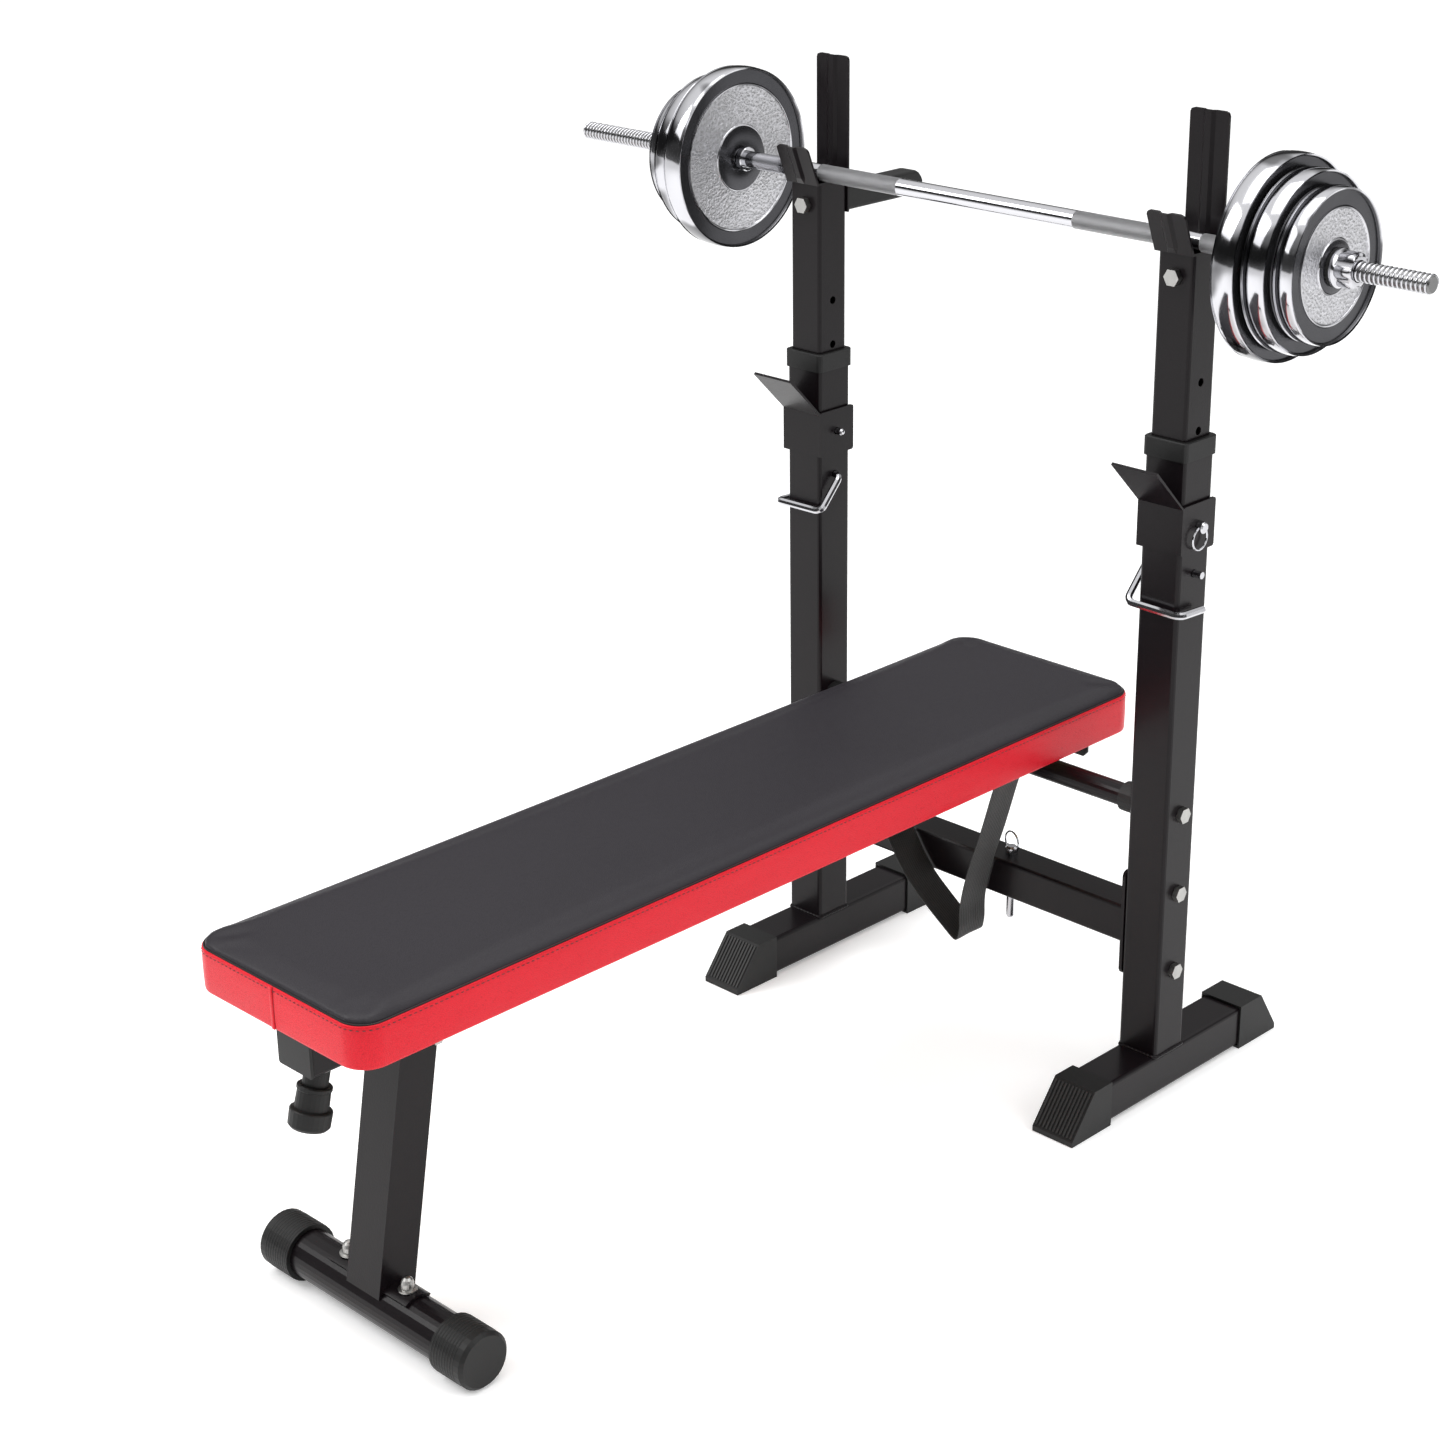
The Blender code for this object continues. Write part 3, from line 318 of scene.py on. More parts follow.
def radius_from_bar(shade):
    """Place along the bar, the two offsets from its axis, and the distance from it."""
    x, y, z = shade.axes()
    dy = y - BAR.y
    dz = z - BAR.z
    return x, dy, dz, (dy * dy + dz * dz).call("SQRT")


def knurled_bar(name, colour, grips):
    """Polished shaft with diamond knurling between the given places along X, with painted shade in the knurl's
    grooves, at the thread roots and on the end faces.
    """
    shade = Shade(name, metallic=1.0)
    x, dy, dz, reach = radius_from_bar(shade)
    # Painted shade: the colour darkens where the surface sits at the thread root, between the thread's ridges and
    # on the bar's end faces.
    root_shade = 1.0 - shade.ramp(reach, THREAD_ROOT + 0.00005, THREAD_ROOT + 0.00020)
    around = dy.call("ARCTAN2", dz) * 24.0
    along = x * 2400.0
    one = (along + around).call("SINE").call("ABSOLUTE")
    two = (along - around).call("SINE").call("ABSOLUTE")
    diamonds = one.call("MINIMUM", two)
    mask = None
    for low, high in grips:
        part = shade.band(x, low, high, 0.0004)
        mask = part if mask is None else mask + part
    cloud = shade.noise(30.0, 3.0)
    # Painted shade: the knurled bands darken a little all over and most in the knurl's grooves; the thread roots
    # darken too.
    shade.set("Base Color", shade.mix(mask * (1.15 - diamonds) + root_shade, colour, grey(0.20)))
    shade.set("Roughness", mask * 0.24 + root_shade * 0.20 + cloud * 0.07 + 0.07)
    shade.bump(diamonds * mask, 0.00045, 0.9)
    return shade.material


def disc_face(name, colour, hub, inner, outer):
    """Weight disc: dark hub, hammered field with bright borders, grey ring and polished rim, with painted dark
    reflections in patches on the polished parts.
    """
    shade = Shade(name)
    reach = radius_from_bar(shade)[-1]
    cells = shade.add(
        "ShaderNodeTexVoronoi", {"feature": "SMOOTH_F1"},
        {"Vector": shade.place(), "Scale": 330.0, "Smoothness": 0.6},
    )
    fine = shade.noise(700.0, 2.0)
    field = shade.band(reach, hub, inner, 0.0005)
    ring = shade.band(reach, inner, outer, 0.0004)
    centre = 1.0 - shade.ramp(reach, hub - 0.0005, hub + 0.0005)
    border = shade.band(reach, inner - 0.0022, inner, 0.0004) + shade.band(reach, hub, hub + 0.0018, 0.0004)
    hammered = field - border
    cast = centre + ring
    cloud = shade.noise(22.0, 4.0)
    silver = shade.mix(cloud * 0.5 + cells * 0.9, grey(0.34), (0.66, 0.66, 0.69))
    # Painted reflection: dark patches in the polished chrome stand in for dark surroundings mirrored in it.
    reflection_patch = shade.ramp(shade.noise(16.0, 2.0), 0.50, 0.60)
    tone = shade.mix(reflection_patch, colour, tuple(c * 0.30 for c in colour))
    tone = shade.mix(hammered, tone, silver)
    tone = shade.mix(cast, tone, shade.mix(cloud, (0.050, 0.050, 0.055), (0.085, 0.085, 0.092)))
    shade.set("Base Color", tone)
    shade.set("Metallic", 1.0 - cast * 0.15)
    shade.set("Roughness", hammered * 0.30 + cast * 0.16 + cloud * 0.04 + 0.08)
    shade.bump(cells * hammered * 1.1 + fine * hammered * 0.6 + border * 1.4, 0.0006, 0.8)
    return shade.material


def vinyl(name, shape, colours):
    """Charcoal top and red band, split at the piped seam, with leather grain and sewn joins."""
    shade = Shade(name, Specular_IOR_Level=0.18, Coat_Roughness=0.30)
    x, y, z = shade.axes()
    seam = shape.seam_height
    top = shade.ramp(z, seam - 0.0004, seam + 0.0004)
    cloud = shade.noise(4.0, 3.0)
    grain = shade.add(
        "ShaderNodeTexVoronoi", {"feature": "DISTANCE_TO_EDGE"},
        {"Vector": shade.place(), "Scale": 520.0},
    )
    creases = shade.noise(38.0, 5.0, rough=0.62)
    cover = tuple(colours.cover)
    band = tuple(colours.band)
    top_tone = shade.mix(cloud, tuple(c * 0.90 for c in cover), tuple(c * 1.14 for c in cover))
    band_tone = shade.mix(cloud, tuple(c * 0.86 for c in band), tuple(min(1.0, c * 1.12) for c in band))
    pores = 1.0 - shade.ramp(grain, 0.0, 0.12)
    tone = shade.mix(top, band_tone, top_tone)
    join = shade.band(x, RACK_X + 0.0012, RACK_X + 0.0022, 0.0002)
    front = 1.0 - shade.ramp(y, PAD_LOW.y + 0.015, PAD_LOW.y + 0.018)
    joint = join * front * (1.0 - top)
    tone = shade.mix(pores * 0.22 + joint * 0.65, tone, grey(0.004))
    shade.set("Base Color", tone)
    shade.set("Roughness", top * 0.07 + cloud * 0.06 + pores * 0.08 + 0.30)
    shade.set("Coat Weight", 0.05 + top * 0.02)
    shade.bump(shade.ramp(grain, 0.0, 0.22) * 0.5 + creases * 1.6 - joint * 3.0, 0.00045, 0.42)
    return shade.material


def webbing(name):
    """Woven tape: ribs across the tape from its own map, u along and v across."""
    shade = Shade(name, Sheen_Weight=0.25, Sheen_Roughness=0.5)
    uv = shade.add("ShaderNodeUVMap", {"uv_map": "weave"})
    along, across, _ = shade.axes(uv)
    warp = (across * 2.0 * math.pi * 14.0).call("SINE")
    weft = (along * 2.0 * math.pi * 900.0 + across * 2.0 * math.pi * 7.0).call("SINE")
    fuzz = shade.noise(1100.0, 2.0)
    weave = warp * 0.5 + weft * 0.5
    shade.set("Base Color", shade.mix(weave * 0.5 + 0.5, grey(0.0035), grey(0.014)))
    shade.set("Roughness", fuzz * 0.15 + 0.72)
    shade.bump(weave + fuzz * 0.6, 0.00025, 0.8)
    return shade.material


def plywood(name):
    shade = Shade(name)
    z = shade.axes()[2]
    stretched = shade.add("ShaderNodeMapping", None, {"Vector": shade.place(), "Scale": (60.0, 5.0, 60.0)})
    rings = shade.noise(1.0, 5.0, place=stretched)
    layers = (z * 4200.0).call("SINE") * 0.5 + 0.5
    shade.set("Base Color", shade.mix(rings * 0.7 + layers * 0.3, (0.30, 0.17, 0.08), (0.56, 0.39, 0.22)))
    shade.set("Roughness", rings * 0.2 + 0.6)
    shade.bump(rings, 0.0004, 0.6)
    return shade.material


def rubber(name):
    shade = Shade(name)
    cloud = shade.noise(60.0, 3.0)
    shade.set("Base Color", shade.mix(cloud, grey(0.008), grey(0.020)))
    shade.set("Roughness", cloud * 0.2 + 0.62)
    shade.bump(shade.noise(1500.0), 0.0001, 0.5)
    return shade.material


def studio_floor(name):
    shade = Shade(name, roughness=0.75, Specular_IOR_Level=0.2)
    cloud = shade.noise(0.8, 2.0)
    shade.set("Base Color", shade.mix(cloud, grey(0.93), grey(0.95)))
    shade.set("Emission Color", (1.0, 1.0, 1.0))
    shade.set("Emission Strength", 0.28)
    return shade.material


# ---------------------------------------------------------------- mesh helpers
def piece(name, bm, material, body, replaces=(), smooth=40.0):
    """Turn a bmesh into a finished object that rides on a body."""
    mesh = bpy.data.meshes.new(name)
    bm.to_mesh(mesh)
    bm.free()
    return dress(name, mesh, material, body, replaces, smooth)


def dress(name, mesh, material, body, replaces=(), smooth=40.0):
    mesh.materials.clear()
    mesh.materials.append(material)
    mesh.polygons.foreach_set("material_index", [0] * len(mesh.polygons))
    mesh.shade_smooth()
    mesh.set_sharp_from_angle(angle=math.radians(smooth))
    obj = bpy.data.objects.new(name, mesh)
    bpy.context.scene.collection.objects.link(obj)
    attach(obj, body)
    if replaces:
        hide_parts(*replaces)
    return obj


def loft(loops, closed=False, bm=None):
    """Skin loops of equal length into one closed form."""
    bm = bm or bmesh.new()
    rows = [[bm.verts.new(p) for p in loop] for loop in loops]
    pairs = list(zip(rows, rows[1:]))
    if closed:
        pairs.append((rows[-1], rows[0]))
    for low, high in pairs:
        for i in range(len(low)):
            j = (i + 1) % len(low)
            bm.faces.new((low[i], low[j], high[j], high[i]))
    if not closed:
        bm.faces.new(rows[0])
        bm.faces.new(rows[-1])
    bmesh.ops.recalc_face_normals(bm, faces=bm.faces)
    return bm


def turned(profile, centre, axis, segments=96):
    """Turn a closed (distance, radius) profile; radii of zero close on the axis."""
    bm = bmesh.new()
    axis = Vector(axis).normalized()
    across = (Vector((0.0, 0.0, 1.0)) - axis * axis.z)
    across = across.normalized() if across.length > 0.1 else Vector((1.0, 0.0, 0.0))
    other = axis.cross(across)
    rings = []
    for distance, radius in profile:
        base = Vector(centre) + axis * distance
        if radius < 1e-6:
            rings.append([bm.verts.new(base)])
            continue
        ring = []
        for i in range(segments):
            angle = 2.0 * math.pi * i / segments
            ring.append(bm.verts.new(base + (across * math.cos(angle) + other * math.sin(angle)) * radius))
        rings.append(ring)
    for one, two in zip(rings, rings[1:] + rings[:1]):
        for i in range(segments):
            j = (i + 1) % segments
            corners = [one[i % len(one)], one[j % len(one)], two[j % len(two)], two[i % len(two)]]
            corners = list(dict.fromkeys(corners))
            if len(corners) > 2:
                bm.faces.new(corners)
    bmesh.ops.recalc_face_normals(bm, faces=bm.faces)
    return bm


def rounded_rect(half_a, half_b, radius, centre=(0.0, 0.0), steps=10):
    points = []
    for quarter, (sa, sb) in enumerate(((1, 1), (-1, 1), (-1, -1), (1, -1))):
        for step in range(steps + 1):
            angle = math.radians(90.0 * (quarter + step / steps))
            points.append((
                centre[0] + sa * (half_a - radius) + radius * math.cos(angle),
                centre[1] + sb * (half_b - radius) + radius * math.sin(angle),
            ))
    return points


def pad_outline(inset, steps=10):
    half = (PAD_HIGH - PAD_LOW) / 2.0
    return rounded_rect(half.x - inset, half.y - inset, PAD_CORNER - inset, (PAD_MID.x, PAD_MID.y), steps)


def cord_round(path, z, radius):
    """A round cord laid level along a closed path; radius gives its size at each point."""
    loops = []
    for i, (x, y) in enumerate(path):
        ahead = Vector(path[(i + 1) % len(path)]) - Vector(path[i - 1])
        side = Vector((ahead.y, -ahead.x)).normalized()
        size = radius(i)
        loop = []
        for k in range(8):
            angle = 2.0 * math.pi * k / 8
            reach = size * math.cos(angle)
            loop.append((x + side.x * reach, y + side.y * reach, z + size * math.sin(angle)))
        loops.append(loop)
    return loft(loops, closed=True)


def weld(name, centre, half, z, body):
    """A rippled bead round the foot of a square tube that stands at centre."""
    corners = rounded_rect(half, half, 0.0040, centre, 3)
    path = []
    for one, two in zip(corners, corners[1:] + corners[:1]):
        steps = max(1, round(math.dist(one, two) / 0.0016))
        path += [tuple(a + (b - a) * k / steps for a, b in zip(one, two)) for k in range(steps)]
    bead = cord_round(
        path, z, lambda i: 0.0021 * (1.0 + 0.16 * math.sin(i * 1.9) + 0.10 * math.sin(i * 0.31)),
    )
    return piece(name, bead, FINISH["paint"], body, smooth=60.0)


# ---------------------------------------------------------------- geometry nodes
class Growth:
    """A geometry node tree under construction, with named inputs."""

    def __init__(self, name, sockets):
        self.tree = bpy.data.node_groups.new(name, "GeometryNodeTree")
        face = self.tree.interface
        face.new_socket("Geometry", in_out="INPUT", socket_type="NodeSocketGeometry")
        for label, kind in sockets:
            face.new_socket(label, in_out="INPUT", socket_type=kind)
        face.new_socket("Geometry", in_out="OUTPUT", socket_type="NodeSocketGeometry")
        self.given = self.tree.nodes.new("NodeGroupInput")
        self.result = self.tree.nodes.new("NodeGroupOutput")

    def add(self, kind, settings=None, values=None):
        node = self.tree.nodes.new(kind)
        for key, value in (settings or {}).items():
            setattr(node, key, value)
        for key, value in (values or {}).items():
            if isinstance(value, bpy.types.NodeSocket):
                self.tree.links.new(value, node.inputs[key])
            else:
                node.inputs[key].default_value = value
        return node

    def end(self, geometry):
        real = self.add("GeometryNodeRealizeInstances", None, {"Geometry": geometry})
        done = self.add(
            "GeometryNodeSetMaterial", None,
            {"Geometry": real.outputs[0], "Material": self.given.outputs["Material"]},
        )
        self.tree.links.new(done.outputs[0], self.result.inputs[0])
        return self.tree


def rib_row():
    """Bars in a row: Count, Start, Step and Size."""
    grow = Growth("rib row", (
        ("Count", "NodeSocketInt"), ("Start", "NodeSocketVector"), ("Step", "NodeSocketVector"),
        ("Size", "NodeSocketVector"), ("Tilt", "NodeSocketVector"), ("Material", "NodeSocketMaterial"),
    ))
    given = grow.given.outputs
    line = grow.add("GeometryNodeMeshLine", {"mode": "OFFSET"}, {
        "Count": given["Count"], "Start Location": given["Start"], "Offset": given["Step"],
    })
    bar = grow.add("GeometryNodeMeshCube", None, {"Size": given["Size"]})
    copies = grow.add("GeometryNodeInstanceOnPoints", None, {
        "Points": line.outputs[0], "Instance": bar.outputs[0], "Rotation": given["Tilt"],
    })
    return grow.end(copies.outputs[0])


def hoop_row():
    """Hoops in a row: Count, Start, Step, Radius and Ridge, each facing along Turn's Z."""
    grow = Growth("hoop row", (
        ("Count", "NodeSocketInt"), ("Start", "NodeSocketVector"), ("Step", "NodeSocketVector"),
        ("Radius", "NodeSocketFloat"), ("Ridge", "NodeSocketFloat"), ("Turn", "NodeSocketVector"),
        ("Material", "NodeSocketMaterial"),
    ))
    given = grow.given.outputs
    line = grow.add("GeometryNodeMeshLine", {"mode": "OFFSET"}, {
        "Count": given["Count"], "Start Location": given["Start"], "Offset": given["Step"],
    })
    hoop = grow.add("GeometryNodeCurvePrimitiveCircle", None, {"Resolution": 72, "Radius": given["Radius"]})
    ridge = grow.add("GeometryNodeCurvePrimitiveCircle", None, {"Resolution": 8, "Radius": given["Ridge"]})
    ring = grow.add("GeometryNodeCurveToMesh", None, {
        "Curve": hoop.outputs[0], "Profile Curve": ridge.outputs[0],
    })
    copies = grow.add("GeometryNodeInstanceOnPoints", None, {
        "Points": line.outputs[0], "Instance": ring.outputs[0], "Rotation": given["Turn"],
    })
    return grow.end(copies.outputs[0])


def helix():
    """A thread: a round ridge wound on a cylinder along the carrier's Z, then placed."""
    grow = Growth("helix", (
        ("Turns", "NodeSocketFloat"), ("Radius", "NodeSocketFloat"), ("Length", "NodeSocketFloat"),
        ("Ridge", "NodeSocketFloat"), ("Place", "NodeSocketVector"), ("Turn", "NodeSocketVector"),
        ("Material", "NodeSocketMaterial"),
    ))
    given = grow.given.outputs
    coil = grow.add("GeometryNodeCurveSpiral", None, {
        "Resolution": 20, "Rotations": given["Turns"], "Start Radius": given["Radius"],
        "End Radius": given["Radius"], "Height": given["Length"],
    })
    ridge = grow.add("GeometryNodeCurvePrimitiveCircle", None, {"Resolution": 6, "Radius": given["Ridge"]})
    wound = grow.add("GeometryNodeCurveToMesh", None, {
        "Curve": coil.outputs[0], "Profile Curve": ridge.outputs[0], "Fill Caps": True,
    })
    moved = grow.add("GeometryNodeTransform", None, {
        "Geometry": wound.outputs[0], "Translation": given["Place"], "Rotation": given["Turn"],
    })
    return grow.end(moved.outputs[0])


def stitch_line():
    """Short capsules at even steps along the carrier's edge loop."""
    grow = Growth("stitch line", (
        ("Pitch", "NodeSocketFloat"), ("Length", "NodeSocketFloat"), ("Thickness", "NodeSocketFloat"),
        ("Material", "NodeSocketMaterial"),
    ))
    given = grow.given.outputs
    curve = grow.add("GeometryNodeMeshToCurve", None, {"Mesh": given["Geometry"]})
    even = grow.add("GeometryNodeResampleCurve", {"mode": "LENGTH"}, {
        "Curve": curve.outputs[0], "Length": given["Pitch"],
    })
    thread = grow.add("GeometryNodeMeshIcoSphere", None, {"Radius": 0.5, "Subdivisions": 2})
    tangent = grow.add("GeometryNodeInputTangent")
    facing = grow.add("FunctionNodeAlignRotationToVector", {"axis": "X"}, {"Vector": tangent.outputs[0]})
    size = grow.add("ShaderNodeCombineXYZ", None, {
        "X": given["Length"], "Y": given["Thickness"], "Z": given["Thickness"],
    })
    copies = grow.add("GeometryNodeInstanceOnPoints", None, {
        "Points": even.outputs[0], "Instance": thread.outputs[0], "Rotation": facing.outputs[0],
        "Scale": size.outputs[0],
    })
    return grow.end(copies.outputs[0])


TREES = {}


def grow(tree, inputs, carrier=None):
    """Run a tree, given by its function, on a carrier mesh and return the result as a plain mesh."""
    if tree not in TREES:
        TREES[tree] = tree()
    mesh = bpy.data.meshes.new("carrier")
    if carrier:
        count = len(carrier)
        mesh.from_pydata(carrier, [(i, (i + 1) % count) for i in range(count)], [])
    holder = bpy.data.objects.new("carrier", mesh)
    bpy.context.scene.collection.objects.link(holder)
    modifier = holder.modifiers.new("grow", "NODES")
    modifier.node_group = TREES[tree]
    for item in TREES[tree].interface.items_tree:
        if item.in_out == "INPUT" and item.name in inputs:
            modifier[item.identifier] = inputs[item.name]
    bpy.context.view_layer.update()
    graph = bpy.context.evaluated_depsgraph_get()
    made = bpy.data.meshes.new_from_object(holder.evaluated_get(graph), depsgraph=graph)
    bpy.data.objects.remove(holder, do_unlink=True)
    return made


def join_meshes(meshes):
    bm = bmesh.new()
    for mesh in meshes:
        bm.from_mesh(mesh)
    return bm


# ---------------------------------------------------------------- operators
class BENCH_OT_finishes(bpy.types.Operator):
    """Make every finish and dress the solid frame with it"""
    bl_idname = "bench_press.finishes"
    bl_label = "Finishes"

    def execute(self, context):
        shape = context.scene.bench_shape
        colours = context.scene.bench_colours
        plating = tuple(colours.plating)
        FINISH["paint"] = powder_coat("gloss powder coat", tuple(colours.paint))
        FINISH["plastic"] = moulded("moulded caps")
        FINISH["grip"] = moulded("handle grip", 0.010, 0.62, 1400.0, 0.00018)
        # Cap ribs: the same moulded plastic as the caps, made lighter as a painted highlight on the ribs.
        FINISH["rib"] = moulded("cap ribs painted highlight", 0.022, 0.46, 700.0, 0.0001)
        FINISH["chrome"] = plated("bright chrome", plating)
        FINISH["zinc"] = zinc("bright zinc")
        FINISH["rubber"] = rubber("lock ring rubber")
        FINISH["plywood"] = plywood("pad board")
        FINISH["vinyl"] = vinyl("pad vinyl", shape, colours)
        FINISH["piping"] = moulded("piping", 0.006, 0.40, 700.0, 0.0001)
        FINISH["thread"] = moulded("sewing thread", 0.03, 0.6, 2500.0, 0.0002)
        FINISH["webbing"] = webbing("woven webbing")
        slots = {item["node"]: item["material_slot"] for item in frame["record"]["subparts"]}
        match = {
            "black_paint": "paint", "black_plastic": "plastic", "chrome": "chrome", "plate_metal": "chrome",
            "zinc": "zinc", "rubber": "rubber", "vinyl": "vinyl", "plywood": "plywood", "webbing": "webbing",
        }
        for name, obj in NODES.items():
            finish = FINISH[match[slots[name]]]
            if name.startswith("rear_handle"):
                finish = FINISH["grip"]
            obj.data.materials.clear()
            obj.data.materials.append(finish)
        return {"FINISHED"}


class BENCH_OT_pad(bpy.types.Operator):
    """Sew and fill the pad, with its piping and stitches"""
    bl_idname = "bench_press.pad"
    bl_label = "Pad"

    def execute(self, context):
        shape = context.scene.bench_shape
        bottom = PAD_BOTTOM
        seam = shape.seam_height
        rows = (
            (0.0060, bottom), (0.0040, bottom + 0.0030), (0.0038, bottom + 0.0120), (0.0038, seam - 0.010),
            (0.0036, seam - 0.001), (0.0028, seam + 0.0018), (0.0036, seam + 0.0046), (0.0066, seam + 0.0068),
            (0.0110, seam + 0.0076), (0.0200, seam + 0.0078),
        )
        bm = loft([[(x, y, z) for x, y in pad_outline(inset)] for inset, z in rows])
        mesh = bpy.data.meshes.new("cut pad")
        bm.to_mesh(mesh)
        bm.free()
        obj = bpy.data.objects.new("pad_cover", mesh)
        context.scene.collection.objects.link(obj)
        context.view_layer.objects.active = obj
        remesh = obj.modifiers.new("voxels", "REMESH")
        remesh.mode = "VOXEL"
        remesh.voxel_size = 0.0055
        self.bake(obj, context)
        self.inflate(obj, context, seam, shape.pad_swell)
        smooth = obj.modifiers.new("finer", "SUBSURF")
        smooth.levels = 1
        smooth.render_levels = 1
        self.bake(obj, context)
        heights = (bottom - 0.01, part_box("pad_board")[1][2] + 0.0004)
        pocket = loft([[(x, y, z) for x, y in pad_outline(0.0097)] for z in heights])
        tool_mesh = bpy.data.meshes.new("pocket")
        pocket.to_mesh(tool_mesh)
        pocket.free()
        tool = bpy.data.objects.new("pocket", tool_mesh)
        context.scene.collection.objects.link(tool)
        cut = obj.modifiers.new("pocket", "BOOLEAN")
        cut.operation = "DIFFERENCE"
        cut.solver = "EXACT"
        cut.object = tool
        self.bake(obj, context)
        bpy.data.objects.remove(tool, do_unlink=True)
        mesh = obj.data
        bpy.data.objects.remove(obj, do_unlink=True)
        pad = dress("pad_cover", mesh, FINISH["vinyl"], "bench", ("bench_pad",), 60.0)
        self.trim(shape, seam)
        return {"FINISHED"}

    def bake(self, obj, context):
        """Turn the object's modifiers into plain mesh."""
        context.view_layer.update()
        graph = context.evaluated_depsgraph_get()
        made = bpy.data.meshes.new_from_object(obj.evaluated_get(graph), depsgraph=graph)
        obj.modifiers.clear()
        obj.data = made

    def inflate(self, obj, context, seam, swell):
        """Fill the cover with pressure, its base and its seam held."""
        start = [v.co.copy() for v in obj.data.vertices]
        held = obj.vertex_groups.new(name="held")
        for vertex in obj.data.vertices:
            if vertex.co.z < seam + 0.0008:
                held.add([vertex.index], 1.0, "REPLACE")
        cloth = obj.modifiers.new("fill", "CLOTH")
        fabric = cloth.settings
        fabric.quality = 5
        fabric.mass = 0.3
        fabric.tension_stiffness = 30.0
        fabric.compression_stiffness = 30.0
        fabric.shear_stiffness = 12.0
        fabric.bending_stiffness = 4.0
        fabric.use_pressure = True
        fabric.uniform_pressure_force = 1.6
        fabric.effector_weights.gravity = 0.0
        fabric.vertex_group_mass = "held"
        cloth.collision_settings.use_collision = False
        last = 20
        cloth.point_cache.frame_start = 1
        cloth.point_cache.frame_end = last
        for number in range(1, last + 1):
            context.scene.frame_set(number)
        self.bake(obj, context)
        context.scene.frame_set(1)
        for vertex, before in zip(obj.data.vertices, start):
            move = vertex.co - before
            if move.length > swell:
                vertex.co = before + move.normalized() * swell

    def trim(self, shape, seam):
        """Red band with its sewn join, a dark cord above it and a row of stitches."""
        bottom = PAD_BOTTOM
        rows = (
            (0.0075, bottom + 0.0012), (0.0068, bottom), (0.0022, bottom), (0.0011, bottom + 0.0008),
            (0.0007, bottom + 0.0030), (0.0004, bottom + 0.0160), (0.0004, seam - 0.0160),
            (0.0007, seam - 0.0030), (0.0010, seam - 0.0014), (0.0018, seam - 0.0007),
            (0.0034, seam - 0.0008), (0.0040, seam - 0.0040),
        )
        band = loft([[(x, y, z) for x, y in pad_outline(inset, LINE_STEPS)] for inset, z in rows], closed=True)
        piece("pad_band", band, FINISH["vinyl"], "bench", smooth=50.0)
        face = PAD_LOW.y + 0.0004
        middle_x = RACK_X - 0.0010
        fold = (
            (-0.0030, 0.0010), (-0.0026, -0.0002), (-0.0016, -0.0008), (0.0004, -0.0010), (0.0016, -0.0007),
            (0.0019, 0.0000), (0.0019, 0.0010),
        )
        loops = []
        heights = (
            (bottom + 0.0004, 0.6), (bottom + 0.0014, 1.0), (seam - 0.0030, 1.0), (seam - 0.0012, 0.5),
        )
        for z, thin in heights:
            loops.append([(middle_x + x, face + (y * thin if y < 0.0 else y), z) for x, y in fold])
        piece("pad_join", loft(loops), FINISH["vinyl"], "bench", smooth=50.0)
        seam -= 0.0003
        cord = cord_round(pad_outline(0.0030, LINE_STEPS), seam, lambda i: shape.piping_radius)
        piece("pad_piping", cord, FINISH["piping"], "bench")
        carrier = [(x, y, seam - 0.0042) for x, y in pad_outline(0.0003, LINE_STEPS)]
        stitches = grow(stitch_line, {
            "Pitch": shape.stitch_pitch, "Length": shape.stitch_pitch * 0.62, "Thickness": 0.0007,
            "Material": FINISH["thread"],
        }, carrier)
        dress("pad_stitches", stitches, FINISH["thread"], "bench")


